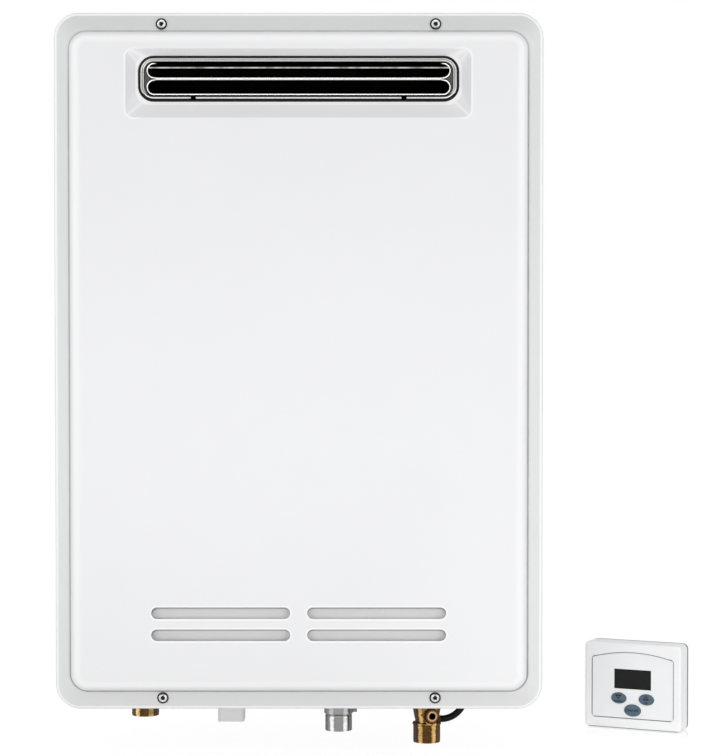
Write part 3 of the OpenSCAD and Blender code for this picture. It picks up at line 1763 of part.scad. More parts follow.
// Controller board with one switch under each button
module remote_board() color("seagreen")
    at_remote()
        stand(board_z - board_t) {
            linear_extrude(board_t)
                square([remote_in[0] - 2 * board_gap, remote_in[1] - 2 * board_gap], center = true);
            for (spot = [[-arrow_x, arrow_z], [arrow_x, arrow_z], [0, power_z]])
                translate([spot[0], spot[1] - remote_h / 2, board_t - over]) {
                    linear_extrude(switch_h + over)
                        square(5, center = true);
                    cylinder(r = 1.4, h = switch_h + plunger_h + over);
                }
        }

// Button with an oval cap, a retaining flange behind the panel and a stem
module key_button(x, z, w, h)
    at_remote()
        stand(0)
            translate([x, z - remote_h / 2, 0]) {
                translate([0, 0, key_rear - key_fit - button_flange_t])
                    linear_extrude(button_flange_t)
                        oval(w + 2 * button_flange, h + 2 * button_flange);
                translate([0, 0, key_rear - key_fit - over])
                    linear_extrude(key_front - key_rear + key_fit + over + button_proud)
                        oval(w, h);
                translate([0, 0, stem_end])
                    cylinder(r = 1.8, h = key_rear - key_fit - button_flange_t - stem_end + over);
            }

module button_down() color("slategray")
    key_button(-arrow_x, arrow_z, arrow_w, arrow_h);

module button_up() color("slategray")
    key_button(arrow_x, arrow_z, arrow_w, arrow_h);

module button_power() color("slategray")
    key_button(0, power_z, power_w, power_h);

back_panel();
case_wrap();
front_cover();
cover_gasket();
cover_screws();
screw_clips();
exhaust_grille();
exhaust_gasket();
inlet_baffle();
hanger_rail();
spacer_rail();
rail_rivets();
pipe_plate();
hot_outlet();
cold_inlet();
drain_plug();
gas_inlet();
sensor_lead();
cable_shield();
cable_grommets();
flue_hood();
exchanger_jacket();
exchanger_fins();
exchanger_tubes();
combustion_chamber();
heat_brackets();
burner_box();
burner_bars();
gas_manifold();
gas_riser();
gas_valve();
gas_solenoids();
fan_housing();
fan_motor();
fan_shaft();
fan_impeller();
flow_sensor();
turbine_axle();
flow_turbine();
cold_pipe();
case_screws();
hot_pipe();
board_tray();
control_board();
transformer();
terminal_block();
igniter_module();
ignition_electrodes();
flame_rod();
hot_thermistor();
overheat_switch();
frost_heater();
remote_front();
remote_back();
remote_panel();
remote_display();
remote_board();
button_down();
button_up();
button_power();
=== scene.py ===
"""Looks of a wall-hung tankless water heater and its controller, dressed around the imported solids."""

import json
import logging
import math
from dataclasses import dataclass
from enum import Enum
from typing import Iterable, Sequence

import bmesh
import bpy
from mathutils import Matrix, Vector


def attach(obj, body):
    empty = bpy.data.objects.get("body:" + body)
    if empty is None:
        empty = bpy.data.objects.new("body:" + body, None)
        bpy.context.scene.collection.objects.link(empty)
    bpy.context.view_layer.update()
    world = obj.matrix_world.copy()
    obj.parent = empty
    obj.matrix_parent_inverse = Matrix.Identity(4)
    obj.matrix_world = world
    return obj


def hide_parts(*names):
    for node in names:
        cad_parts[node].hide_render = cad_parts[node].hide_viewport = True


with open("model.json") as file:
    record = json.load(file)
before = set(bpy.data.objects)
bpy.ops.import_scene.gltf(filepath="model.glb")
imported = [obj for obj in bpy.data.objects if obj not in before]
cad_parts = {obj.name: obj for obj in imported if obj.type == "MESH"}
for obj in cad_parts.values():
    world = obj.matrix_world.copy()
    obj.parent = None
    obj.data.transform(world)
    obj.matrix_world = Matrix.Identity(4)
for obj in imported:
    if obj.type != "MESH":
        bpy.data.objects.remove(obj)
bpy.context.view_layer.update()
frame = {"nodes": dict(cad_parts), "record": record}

LOG = logging.getLogger("water_heater")
MM = 0.001
FULL_TURN = 2.0 * math.pi
RIGHT_ANGLE = math.radians(90)
CREASE = math.radians(35)
UNIT = (1.0, 1.0, 1.0)
WHITE = (1.0, 1.0, 1.0)
NOISE_MIDDLE = 0.5
NOISE_ROUGHNESS = 0.55
# Colour sockets of a Mix node, which go by number because their names repeat.
MIX_SHARE, MIX_FIRST, MIX_SECOND, MIX_RESULT = 0, 6, 7, 2

Colour = tuple[float, float, float]
Place = tuple[float, float, float]
Pair = tuple[float, float]


def mm(first: float, second: float) -> Pair:
    """Turns a pair of millimetres into metres."""
    return first * MM, second * MM


class Body(str, Enum):
    """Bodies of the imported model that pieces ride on."""

    HEATER = "heater"
    KEY_DOWN = "key_down"
    KEY_UP = "key_up"
    KEY_POWER = "key_power"


class Slot(str, Enum):
    """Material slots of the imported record."""

    WHITE_PAINT = "white_paint"
    GREY_PAINT = "grey_paint"
    GALVANISED = "galvanised"
    STAINLESS = "stainless"
    ZINC = "zinc"
    BRASS = "brass"
    NICKEL = "nickel"
    COPPER = "copper"
    BLACK_RUBBER = "black_rubber"
    CAST_ALLOY = "cast_alloy"
    COIL_BLUE = "coil_blue"
    BLACK_PLASTIC = "black_plastic"
    WHITE_PLASTIC = "white_plastic"
    CERAMIC = "ceramic"
    BOARD_GREEN = "board_green"
    KEY_GREY = "key_grey"
    KEY_BLUE = "key_blue"
    DISPLAY = "display"


class Axis(Enum):
    """Axes of a point, by their output on a Separate XYZ node."""

    X = 0
    Y = 1
    Z = 2


class Detail(Enum):
    """Number of finer layers in a noise."""

    SOFT = 2.0
    CLOUDY = 3.0
    PATCHY = 4.0
    FINE = 5.0


@dataclass(frozen=True)
class Outline:
    """Upright rounded rectangle, seen from the front; lengths are in metres."""

    middle: Pair
    half: Pair
    radius: float


@dataclass(frozen=True)
class Seat:
    """Place and turn of the controller's own frame."""

    middle: Place
    turn: float

    def matrix(self) -> Matrix:
        """Hands back the frame as a matrix."""
        return Matrix.Translation(self.middle) @ Matrix.Rotation(self.turn, 4, "Z")


AIR_SLOTS = tuple(
    Outline(mm(side * 59.25, level), mm(52.8, 4.45), 4.45 * MM)
    for side in (-1, 1)
    for level in (-412.6, -395.8)
)
CONTROLLER_SEAT = Seat((275 * MM, -32 * MM, -475.1 * MM), math.radians(-25))


class Wire:
    """Output of a shader node that takes part in Python expressions."""

    def __init__(self, net: "Net", socket: bpy.types.NodeSocket | None) -> None:
        """Keeps the node tree and the output socket."""
        self.net = net
        self.socket = socket

    def maths(self, operation: str, *terms: "Wire | float") -> "Wire":
        """Adds one Math node.

        Args:
            operation: name of the node's operation.
            terms: values or wires, in the order of its sockets.

        Returns:
            The node's value.
        """
        return self.net.add("ShaderNodeMath", {"operation": operation}, dict(enumerate(terms)))

    def __add__(self, other: "Wire | float") -> "Wire":
        """Adds a value on the right."""
        return self.maths("ADD", self, other)

    def __radd__(self, other: float) -> "Wire":
        """Adds a value on the left."""
        return self.maths("ADD", other, self)

    def __sub__(self, other: "Wire | float") -> "Wire":
        """Subtracts a value."""
        return self.maths("SUBTRACT", self, other)

    def __rsub__(self, other: float) -> "Wire":
        """Subtracts this wire from a value."""
        return self.maths("SUBTRACT", other, self)

    def __mul__(self, other: "Wire | float") -> "Wire":
        """Multiplies by a value on the right."""
        return self.maths("MULTIPLY", self, other)

    def __rmul__(self, other: float) -> "Wire":
        """Multiplies by a value on the left."""
        return self.maths("MULTIPLY", other, self)

    def __abs__(self) -> "Wire":
        """Takes the size without its sign."""
        return self.maths("ABSOLUTE", self)

    def least(self, other: "Wire | float") -> "Wire":
        """Takes the smaller of this wire and another value."""
        return self.maths("MINIMUM", self, other)

    def most(self, *others: "Wire | float") -> "Wire":
        """Takes the largest of this wire and other values.

        Args:
            others: values or wires.

        Returns:
            The largest value.
        """
        largest = self
        for other in others:
            largest = self.maths("MAXIMUM", largest, other)
        return largest

    def ease(self, low: float, high: float) -> "Wire":
        """Maps a range to 0 to 1 with soft ends.

        Args:
            low: value that becomes 0.
            high: value that becomes 1; it may be below low.

        Returns:
            The eased share.
        """
        return self.net.add(
            "ShaderNodeMapRange",
            {"interpolation_type": "SMOOTHSTEP", "clamp": True},
            {"Value": self, "From Min": low, "From Max": high, "To Min": 0.0, "To Max": 1.0},
        )

    def band(self, rise: Pair, fall: Pair) -> "Wire":
        """Share that rises softly over one range and falls over another."""
        return self.ease(*rise) * self.ease(*fall)


class Net:
    """Node tree that grows by one node with each call of add."""

    def __init__(self, tree: bpy.types.NodeTree) -> None:
        """Starts from an empty tree."""
        self.tree = tree
        self.tree.nodes.clear()

    def add(
        self,
        kind: str,
        settings: dict[str, object] | None = None,
        inputs: dict[int | str, object] | None = None,
        output: int | str = 0,
    ) -> Wire:
        """Adds a node of any type.

        Args:
            kind: the node's type.
            settings: its properties, which are set first; stops fill a colour ramp.
            inputs: values or wires, by the socket's name or number.
            output: name or number of the output that is handed back.

        Returns:
            The chosen output, without a socket where the node has none.
        """
        node = self.tree.nodes.new(kind)
        for key, value in (settings or {}).items():
            if key == "stops":
                self._fill_ramp(node.color_ramp, value)
            else:
                setattr(node, key, value)
        for key, value in (inputs or {}).items():
            socket = node.inputs[key]
            if isinstance(value, Wire):
                self.tree.links.new(value.socket, socket)
            elif socket.type == "RGBA":
                socket.default_value = (*value, 1.0)[:4]
            else:
                socket.default_value = value
        return Wire(self, node.outputs[output] if len(node.outputs) else None)

    @staticmethod
    def _fill_ramp(ramp: bpy.types.ColorRamp, stops: Sequence[tuple[float, Colour]]) -> None:
        """Sets a ramp's stops.

        Args:
            ramp: the node's ramp, with its two first stops.
            stops: place and colour of each stop, in order.
        """
        while len(ramp.elements) < len(stops):
            ramp.elements.new(1.0)
        for element, (place, colour) in zip(ramp.elements, stops):
            element.position = place
            element.color = (*colour, 1.0)

    def place(self, stretch: Place = UNIT) -> Wire:
        """Point on the piece in metres.

        Args:
            stretch: factor along each axis.

        Returns:
            The point as a vector.
        """
        point = self.add("ShaderNodeTexCoord", output="Object")
        if stretch == UNIT:
            return point
        return self.add("ShaderNodeVectorMath", {"operation": "MULTIPLY"}, {0: point, 1: stretch})

    def part(self, vector: Wire, axis: Axis) -> Wire:
        """One coordinate of a vector."""
        return self.add("ShaderNodeSeparateXYZ", inputs={0: vector}, output=axis.value)

    def at(self, axis: Axis) -> Wire:
        """One coordinate of the point on the piece, in metres."""
        return self.part(self.place(), axis)

    def facing(self, axis: Axis) -> Wire:
        """One coordinate of the surface's own normal."""
        return self.part(self.add("ShaderNodeNewGeometry", output="Normal"), axis)

    def inset(self, outline: Outline) -> Wire:
        """Distance inwards from an outline.

        Args:
            outline: the outline.

        Returns:
            The distance, which is below 0 outside the outline.
        """
        across, along = (
            abs(self.at(axis) - middle) - (half - outline.radius)
            for axis, middle, half in zip((Axis.X, Axis.Z), outline.middle, outline.half)
        )
        within = across.most(along).least(0.0)
        return outline.radius - self.reach(across.most(0.0), along.most(0.0)) - within

    def deepest(self, outlines: Iterable[Outline]) -> Wire:
        """Largest distance inwards from any of several outlines.

        Args:
            outlines: the outlines.

        Returns:
            The distance, which is below 0 outside all of them.
        """
        first, *others = (self.inset(outline) for outline in outlines)
        return first.most(*others)

    def reach(self, across: Wire, along: Wire) -> Wire:
        """Length of the line that two coordinates span."""
        return across.maths("SQRT", across * across + along * along)

    def seated(self, seat: Seat) -> tuple[Wire, Wire, Wire]:
        """Point in a turned frame.

        Args:
            seat: place and turn of that frame.

        Returns:
            The coordinates across, to the front and upwards.
        """
        x, y, z = (self.at(axis) - middle for axis, middle in zip(Axis, seat.middle))
        cosine, sine = math.cos(seat.turn), math.sin(seat.turn)
        return x * cosine + y * sine, x * sine - y * cosine, z

    def ramp(self, length: Wire, span: float, stops: Sequence[tuple[float, Colour]]) -> Wire:
        """Colours that follow each other along a length.

        Args:
            length: the length in metres.
            span: length of the whole row.
            stops: place and colour of each stop, in order.

        Returns:
            The colour.
        """
        rows = [(place / span, colour) for place, colour in stops]
        return self.add("ShaderNodeValToRGB", {"stops": rows}, {0: length * (1.0 / span)})

    def noise(self, size: float, detail: Detail = Detail.SOFT, stretch: Place = UNIT) -> Wire:
        """Soft noise between 0 and 1.

        Args:
            size: length of its waves in metres.
            detail: its finer layers.
            stretch: factor along each axis.

        Returns:
            The noise's value.
        """
        return self.add("ShaderNodeTexNoise", inputs={
            "Vector": self.place(stretch),
            "Scale": 1.0 / size,
            "Detail": detail.value,
            "Roughness": NOISE_ROUGHNESS,
        })

    def cells(self, size: float, feature: str = "F1", output: str = "Distance") -> Wire:
        """Voronoi cells.

        Args:
            size: width of a cell in metres.
            feature: what is measured in a cell.
            output: the output that is handed back.

        Returns:
            That output.
        """
        inputs = {"Vector": self.place(), "Scale": 1.0 / size}
        return self.add("ShaderNodeTexVoronoi", {"feature": feature}, inputs, output)

    def blend(self, share: Wire, first: "Wire | Colour", second: "Wire | Colour") -> Wire:
        """Mixes two colours.

        Args:
            share: 0 for the first colour and 1 for the second.
            first: colour or wire.
            second: colour or wire.

        Returns:
            The mixed colour.
        """
        inputs = {MIX_SHARE: share, MIX_FIRST: first, MIX_SECOND: second}
        return self.add("ShaderNodeMix", {"data_type": "RGBA"}, inputs, MIX_RESULT)

    def dim(self, colour: "Wire | Colour", share: Wire) -> Wire:
        """Scales a colour by a value."""
        return self.add("ShaderNodeVectorMath", {"operation": "SCALE"}, {0: colour, "Scale": share})

    def bump(self, height: Wire, depth: float, under: Wire | None = None) -> Wire:
        """Bump for a shader's normal.

        Args:
            height: relief between 0 and 1.
            depth: height of that relief in metres.
            under: normal of a coarser bump below it.

        Returns:
            The normal.
        """
        inputs: dict[int | str, object] = {"Height": height, "Distance": depth, "Strength": 1.0}
        if under is not None:
            inputs["Normal"] = under
        return self.add("ShaderNodeBump", inputs=inputs)


@dataclass
class Layers:
    """What a finish feeds to its shader."""

    colour: Wire
    roughness: Wire
    normal: Wire
    metallic: "Wire | float"


@dataclass(frozen=True)
class Finish:
    """Finish with drifting colour, uneven gloss and a fine grain; lengths are in metres.

    In a finish, a pair is the two ends of a soft step unless its name says otherwise.
    """

    name: str
    colour: Colour
    roughness: float
    metallic: float = 0.0
    drift: float = 0.04
    drift_size: float = 40 * MM
    gloss_spread: float = 0.06
    gloss_patch: float = 0.3
    grain_size: float = 0.7 * MM
    grain_depth: float = 0.012 * MM
    coat: float = 0.0
    specular: float = 0.5

    def material(self) -> bpy.types.Material:
        """Builds the Blender material."""
        material = bpy.data.materials.new(self.name)
        material.use_nodes = True
        material.diffuse_color = (*self.colour, 1.0)
        net = Net(material.node_tree)
        layers = self.layers(net)
        surface = net.add("ShaderNodeBsdfPrincipled", inputs={
            "Base Color": layers.colour,
            "Roughness": layers.roughness,
            "Metallic": layers.metallic,
            "Normal": layers.normal,
            "Coat Weight": self.coat,
            "Specular IOR Level": self.specular,
        })
        net.add("ShaderNodeOutputMaterial", inputs={"Surface": surface})
        return material

    def layers(self, net: Net) -> Layers:
        """Builds the colour, gloss and grain.

        Args:
            net: the material's nodes.

        Returns:
            The layers that feed the shader.
        """
        shade = 1.0 - self.drift + net.noise(self.drift_size, Detail.PATCHY) * (2.0 * self.drift)
        patches = net.noise(self.drift_size * self.gloss_patch, Detail.FINE)
        gloss = self.roughness - self.gloss_spread + patches * (2.0 * self.gloss_spread)
        grain = net.bump(net.noise(self.grain_size, Detail.CLOUDY), self.grain_depth)
        return Layers(net.dim(self.colour, shade), gloss, grain, self.metallic)


@dataclass(frozen=True)
class CoverPaint(Finish):
    """White powder coat of the pressed cover, with painted light and shade: a flange painted grey as shade,
    painted highlights on its edges and folds, painted shade in the fold at the panel's foot and painted
    shade and light in the recess.
    """

    # Painted shade: the flange's grey tones, lighter at the sides than at the top and bottom.
    side_colour: Colour = (0.757, 0.772, 0.77)
    upper_colour: Colour = (0.652, 0.666, 0.666)
    lower_colour: Colour = (0.712, 0.714, 0.714)
    # Colour of the painted shade in the fold at the panel's foot.
    fold_shade_colour: Colour = (0.20, 0.205, 0.21)
    # Colour of the painted highlights on the cover's edges, folds, window and slot lips.
    edge_colour: Colour = (0.965, 0.965, 0.97)
    # Colour of the painted shade line on the cover's turned lip.
    shade_line_colour: Colour = (0.58, 0.585, 0.585)
    flange_depth: float = 180 * MM
    cover: Outline = Outline(mm(0, -205.25), mm(186, 265.25), 19 * MM)
    panel: Outline = Outline(mm(0, -205.4), mm(174.8, 251.4), 14 * MM)
    recess: Outline = Outline(mm(0, 5.6), mm(131, 26), 6.5 * MM)
    ends_blend: Pair = mm(-100, 100)
    corner_blend: Pair = mm(-15, 15)
    cloud_size: float = 60 * MM
    cloud: float = 0.03
    # Painted light on the flange next to the panel's wall.
    near_fold: Pair = mm(-6, 0)
    near_gain: float = 0.08
    # Painted highlight on the cover's rolled outer edge, and a painted shade line on its turned lip.
    rolled_edge: Pair = mm(2.7, 2.0)
    rim_depth: Pair = mm(-2.4, -2)
    rim_line: Pair = mm(0.6, 0.3)
    # Painted shade on the recess's slopes, and painted light on the slope that faces down.
    slope_depth: Pair = mm(9.5, 1)
    slope_tone: float = 0.92
    slope_gain: float = 0.05
    facing_down: Pair = (-0.35, -0.7)
    top_tone: float = 1.14
    recess_edge: Pair = mm(-0.1, 0.4)
    # Painted highlights on the recess's side folds, the window's edge, the mitres and the air slots' lips.
    light_rise: Pair = mm(-1.3, -0.5)
    light_fall: Pair = mm(0.8, 0.2)
    light_sides: Pair = mm(-16, -4)
    window_depth: Pair = mm(2.4, 1.6)
    window_inside: Pair = mm(0, 1)
    mitre_line: Pair = mm(2.6, 0.6)
    mitre_inside: Pair = mm(0, 1.5)
    mitre_share: float = 0.5
    lip_line: Pair = mm(-1.5, -0.9)
    panel_depth: Pair = mm(0.5, 5)
    panel_inside: Pair = mm(1, 12)
    # Painted highlight along the panel's rounded edge.
    border_rise: Pair = mm(2, 5.5)
    border_fall: Pair = mm(11, 6)
    # Painted shade in the fold at the panel's foot: weaker at the top, stronger at the bottom, in uneven
    # patches.
    fold_shade_rise: Pair = mm(-0.7, -0.1)
    fold_shade_fall: Pair = mm(1.6, 0.8)
    fold_shade_size: float = 9 * MM
    fold_shade_patches: Pair = (0.2, 0.7)
    fold_shade_patch_gain: float = 0.15
    fold_shade_share: float = 0.6
    fold_shade_top: Pair = mm(200, 260)
    fold_shade_top_loss: float = 0.35
    fold_shade_foot: Pair = mm(-200, -260)
    fold_shade_foot_gain: float = 0.2

    def above_flange(self, depth: Wire, step: Pair) -> Wire:
        """Soft step at a height above the flange.

        Args:
            depth: distance from the wall.
            step: heights above the flange where the step starts and ends.

        Returns:
            The eased share.
        """
        return depth.ease(self.flange_depth + step[0], self.flange_depth + step[1])

    def flange(self, net: Net, depth: Wire) -> Wire:
        """Paints the flange grey as shade, lighter at the sides than at the ends, with a painted highlight
        on its rolled edge, painted light next to the panel and a painted shade line on its turned lip.

        Args:
            net: the material's nodes.
            depth: distance from the wall.

        Returns:
            The flange's colour.
        """
        height = net.at(Axis.Z) - self.panel.middle[1]
        beside = abs(net.at(Axis.X)) - self.panel.half[0]
        beyond = abs(height) - self.panel.half[1]
        # Painted shade: the flange is grey, darker at the top and bottom than at the sides.
        ends = net.blend(height.ease(*self.ends_blend), self.lower_colour, self.upper_colour)
        sheet = net.blend((beside - beyond).ease(*self.corner_blend), ends, self.side_colour)
        clouds = (net.noise(self.cloud_size) - NOISE_MIDDLE) * self.cloud
        # Painted light: the flange is lighter within a few millimetres of the panel's foot.
        near = net.inset(self.panel).ease(*self.near_fold)
        sheet = net.dim(sheet, 1.0 + clouds + near * self.near_gain)
        inside = net.inset(self.cover)
        # Painted highlight on the rolled edge, then a painted shade line where the lip turns back.
        sheet = net.blend(inside.ease(*self.rolled_edge), sheet, self.edge_colour)
        line = inside.ease(*self.rim_line) * self.above_flange(depth, self.rim_depth)
        return net.blend(line, sheet, self.shade_line_colour)

    def pressing(self, net: Net, depth: Wire, paint: Wire) -> Wire:
        """Paints shade on the slopes of the recess and light on its downward slope, with painted highlights
        on the folds at the panel, the window, the mitres and the air slots' lips.

        Args:
            net: the material's nodes.
            depth: distance from the wall.
            paint: the panel's colour.

        Returns:
            The colour of the panel and its recess.
        """
        inside = net.inset(self.recess)
        # Painted shade on the slopes, lighter deeper in; painted light where a slope faces down.
        tone = self.slope_tone + self.above_flange(depth, self.slope_depth) * self.slope_gain
        tone = tone + net.facing(Axis.Z).ease(*self.facing_down) * (self.top_tone - tone)
        slopes = net.blend(inside.ease(*self.recess_edge), paint, net.dim(paint, tone))
        across = abs(net.at(Axis.X)) - self.recess.half[0]
        along = abs(net.at(Axis.Z) - self.recess.middle[1]) - self.recess.half[1]
        # Painted highlights: the side folds, the window's edge, the mitres and the slot lips take the
        # highlight colour.
        fold = inside.band(self.light_rise, self.light_fall) * across.ease(*self.light_sides)
        window = self.above_flange(depth, self.window_depth) * inside.ease(*self.window_inside)
        mitre = abs(across - along).ease(*self.mitre_line) * inside.ease(*self.mitre_inside)
        lips = net.deepest(AIR_SLOTS).ease(*self.lip_line)
        return net.blend(fold.most(window, mitre * self.mitre_share, lips), slopes, self.edge_colour)

    def fold_shade(self, net: Net, foot: Wire) -> Wire:
        """Share of painted shade in the fold at the panel's foot, less at the top and more at the bottom.

        Args:
            net: the material's nodes.
            foot: distance inwards from the panel's foot.

        Returns:
            The share.
        """
        height = net.at(Axis.Z) - self.panel.middle[1]
        loss = height.ease(*self.fold_shade_top) * self.fold_shade_top_loss
        share = self.fold_shade_share - loss + height.ease(*self.fold_shade_foot) * self.fold_shade_foot_gain
        patches = net.noise(self.fold_shade_size, Detail.CLOUDY).ease(*self.fold_shade_patches)
        return foot.band(self.fold_shade_rise, self.fold_shade_fall) * (patches * self.fold_shade_patch_gain + share)

    def layers(self, net: Net) -> Layers:
        """Adds the flange, the panel's painted highlight border, the recess and the painted shade in the
        fold at the panel's foot.

        Args:
            net: the material's nodes.

        Returns:
            The layers that feed the shader.
        """
        layers = super().layers(net)
        depth = 0.0 - net.at(Axis.Y)
        foot = net.inset(self.panel)
        # Painted highlight along the panel's rounded edge, inside its foot.
        border = foot.band(self.border_rise, self.border_fall)
        paint = self.pressing(net, depth, net.blend(border, layers.colour, self.edge_colour))
        raised = self.above_flange(depth, self.panel_depth).most(foot.ease(*self.panel_inside))
        sheet = net.blend(raised, self.flange(net, depth), paint)
        # Painted shade in the fold at the panel's foot.
        layers.colour = net.blend(self.fold_shade(net, foot), sheet, self.fold_shade_colour)
        return layers


@dataclass(frozen=True)
class SlotPlate(Finish):
    """Coat of the plate behind the air slots, shaded by their upper lips; lengths are in metres."""

    shade_drop: float = 2.4 * MM
    shade_edge: Pair = mm(0.3, -0.3)
    shade_share: float = 0.5
    # Painted light: the slots' ends are lighter than their middles.
    middle_tone: float = 0.92
    ends: Pair = mm(38, 52)
    end_gain: float = 0.08

    def layers(self, net: Net) -> Layers:
        """Adds the lips' painted shadow and paints the ends lighter as painted light.

        Args:
            net: the material's nodes.

        Returns:
            The layers that feed the shader.
        """
        layers = super().layers(net)
        lowered = [
            Outline((slot.middle[0], slot.middle[1] - self.shade_drop), slot.half, slot.radius)
            for slot in AIR_SLOTS
        ]
        shade = net.deepest(lowered).ease(*self.shade_edge) * self.shade_share
        across = abs(abs(net.at(Axis.X)) - AIR_SLOTS[-1].middle[0])
        # Painted light at the slots' ends, with the lips' painted shadow.
        tone = (self.middle_tone + across.ease(*self.ends) * self.end_gain) * (1.0 - shade)
        layers.colour = net.dim(layers.colour, tone)
        return layers


@dataclass(frozen=True)
class Spangle(Finish):
    """Galvanised sheet with its zinc crystals."""

    crystal: float = 7 * MM
    low_tone: float = 0.82
    tone_gain: float = 0.3
    gloss_gain: float = 0.16

    def layers(self, net: Net) -> Layers:
        """Adds crystals that differ in tone and gloss.

        Args:
            net: the material's nodes.

        Returns:
            The layers that feed the shader.
        """
        layers = super().layers(net)
        tone = net.part(net.cells(self.crystal, output="Color"), Axis.X)
        layers.colour = net.dim(layers.colour, self.low_tone + tone * self.tone_gain)
        layers.roughness = layers.roughness + (tone - NOISE_MIDDLE) * self.gloss_gain
        return layers


@dataclass(frozen=True)
class Brushed(Finish):
    """Sheet metal with fine lines along X and a little heat tint."""

    line: float = 0.5 * MM
    line_depth: float = 0.006 * MM
    line_stretch: Place = (0.03, 1.0, 1.0)
    line_gloss: float = 0.12
    tint: Colour = (0.62, 0.52, 0.38)
    tint_share: float = 0.12
    tint_size: float = 35 * MM
    tint_patches: Pair = (0.45, 0.75)

    def layers(self, net: Net) -> Layers:
        """Adds the lines and the tint.

        Args:
            net: the material's nodes.

        Returns:
            The layers that feed the shader.
        """
        layers = super().layers(net)
        lines = net.noise(self.line, stretch=self.line_stretch)
        layers.roughness = layers.roughness + (lines - NOISE_MIDDLE) * self.line_gloss
        layers.normal = net.bump(lines, self.line_depth, layers.normal)
        tinted = net.noise(self.tint_size, Detail.CLOUDY).ease(*self.tint_patches) * self.tint_share
        layers.colour = net.blend(tinted, layers.colour, self.tint)
        return layers


@dataclass(frozen=True)
class Tarnished(Finish):
    """Cast or turned metal with a patchy dark film and small pits."""

    film: Colour = (0.13, 0.065, 0.02)
    film_share: float = 0.7
    film_size: float = 7 * MM
    film_patches: Pair = (0.42, 0.72)
    film_gloss: float = 0.25
    pit_size: float = 1.6 * MM
    pit_depth: float = 0.05 * MM
    pit_wall: Pair = (0.0, 0.5)

    def layers(self, net: Net) -> Layers:
        """Adds the film and the pits.

        Args:
            net: the material's nodes.

        Returns:
            The layers that feed the shader.
        """
        layers = super().layers(net)
        film = net.noise(self.film_size, Detail.FINE).ease(*self.film_patches) * self.film_share
        pits = net.cells(self.pit_size).ease(*self.pit_wall)
        layers.colour = net.blend(film, layers.colour, self.film)
        layers.roughness = layers.roughness + film * self.film_gloss
        layers.normal = net.bump(pits, self.pit_depth, layers.normal)
        return layers


@dataclass(frozen=True)
class PaintedReflections(Tarnished):
    """Turned fitting with painted reflections in bright and dark bands around its upright axis, painted
    shade on dull sides and a dull collar.
    """

    axis: Pair = mm(0, -95)
    # Painted reflections: dark bands around the axis; the same dark colour paints shade at the sides and
    # the right.
    dark_reflection_and_shade: Colour = (0.050, 0.020, 0.005)
    reflection_bands: int = 6
    reflection_and_shade_share: float = 0.96
    reflection_edge: Pair = (-1.0, -0.2)
    wobble: float = 1.2
    wobble_size: float = 3 * MM
    side_angles: Pair = (math.radians(46), math.radians(62))
    side_metal_loss: float = 0.95
    side_dullness: float = 0.45
    right_angles: Pair = (0.0, 0.3)
    right_share: float = 0.0
    dull_colour: Colour = (0.30, 0.30, 0.295)
    dull_level: float = 1.0
    dull_soft: float = 0.2 * MM
    dull_share: float = 0.6

    def layers(self, net: Net) -> Layers:
        """Adds painted reflections and painted shade: dark bands at the front, painted shade at the sides
        and, where set, on the right, and bright bands between them.

        Args:
            net: the material's nodes.

        Returns:
            The layers that feed the shader.
        """
        layers = super().layers(net)
        across = net.at(Axis.X) - self.axis[0]
        angle = across.maths("ARCTAN2", across, self.axis[1] - net.at(Axis.Y))
        wave = angle * self.reflection_bands + (net.noise(self.wobble_size) - NOISE_MIDDLE) * self.wobble
        # Painted reflections and painted shade: dark bands by angle, shaded sides and a shaded right side.
        dark = wave.maths("COSINE", wave).ease(*self.reflection_edge)
        sides = abs(angle).ease(*self.side_angles)
        right = angle.ease(*self.right_angles) * self.right_share
        layers.colour = net.blend(dark.most(sides, right) * self.reflection_and_shade_share, layers.colour, self.dark_reflection_and_shade)
        layers.metallic = 1.0 - sides * self.side_metal_loss
        layers.roughness = layers.roughness + sides * self.side_dullness
        collar = net.at(Axis.Z).ease(self.dull_level - self.dull_soft, self.dull_level + self.dull_soft)
        layers.colour = net.blend(collar * self.dull_share, layers.colour, self.dull_colour)
        return layers


@dataclass(frozen=True)
class Bossed(PaintedReflections):
    """Turned fitting with rings of painted highlights and painted shade on the drain boss at its front."""

    boss_level: float = -488.2 * MM
    boss_turn: float = math.radians(15)
    boss_front: Pair = mm(8.3, 9.3)
    boss_edge: Pair = mm(8.2, 7.4)
    ring_span: float = 10 * MM
    # Painted highlights and painted shade in rings around the boss's axis; the black middle is painted
    # shade in its socket.
    rings: tuple[tuple[float, Colour], ...] = (
        (2.6 * MM, (0.002, 0.002, 0.002)),
        (3.0 * MM, (0.48, 0.33, 0.18)),
        (3.7 * MM, (0.46, 0.31, 0.16)),
        (4.2 * MM, (0.15, 0.065, 0.025)),
        (5.2 * MM, (0.12, 0.05, 0.018)),
        (5.5 * MM, (0.010, 0.007, 0.004)),
        (6.1 * MM, (0.010, 0.007, 0.004)),
        (6.5 * MM, (0.40, 0.25, 0.10)),
        (7.2 * MM, (0.22, 0.11, 0.035)),
    )

    def layers(self, net: Net) -> Layers:
        """Adds the boss's rings of painted highlights and painted shade, and its socket painted dark as
        shade.

        Args:
            net: the material's nodes.

        Returns:
            The layers that feed the shader.
        """
        layers = super().layers(net)
        across, ahead, up = net.seated(Seat((*self.axis, self.boss_level), self.boss_turn))
        reach = net.reach(across, up)
        share = ahead.ease(*self.boss_front) * reach.ease(*self.boss_edge)
        layers.colour = net.blend(share, layers.colour, net.ramp(reach, self.ring_span, self.rings))
        return layers


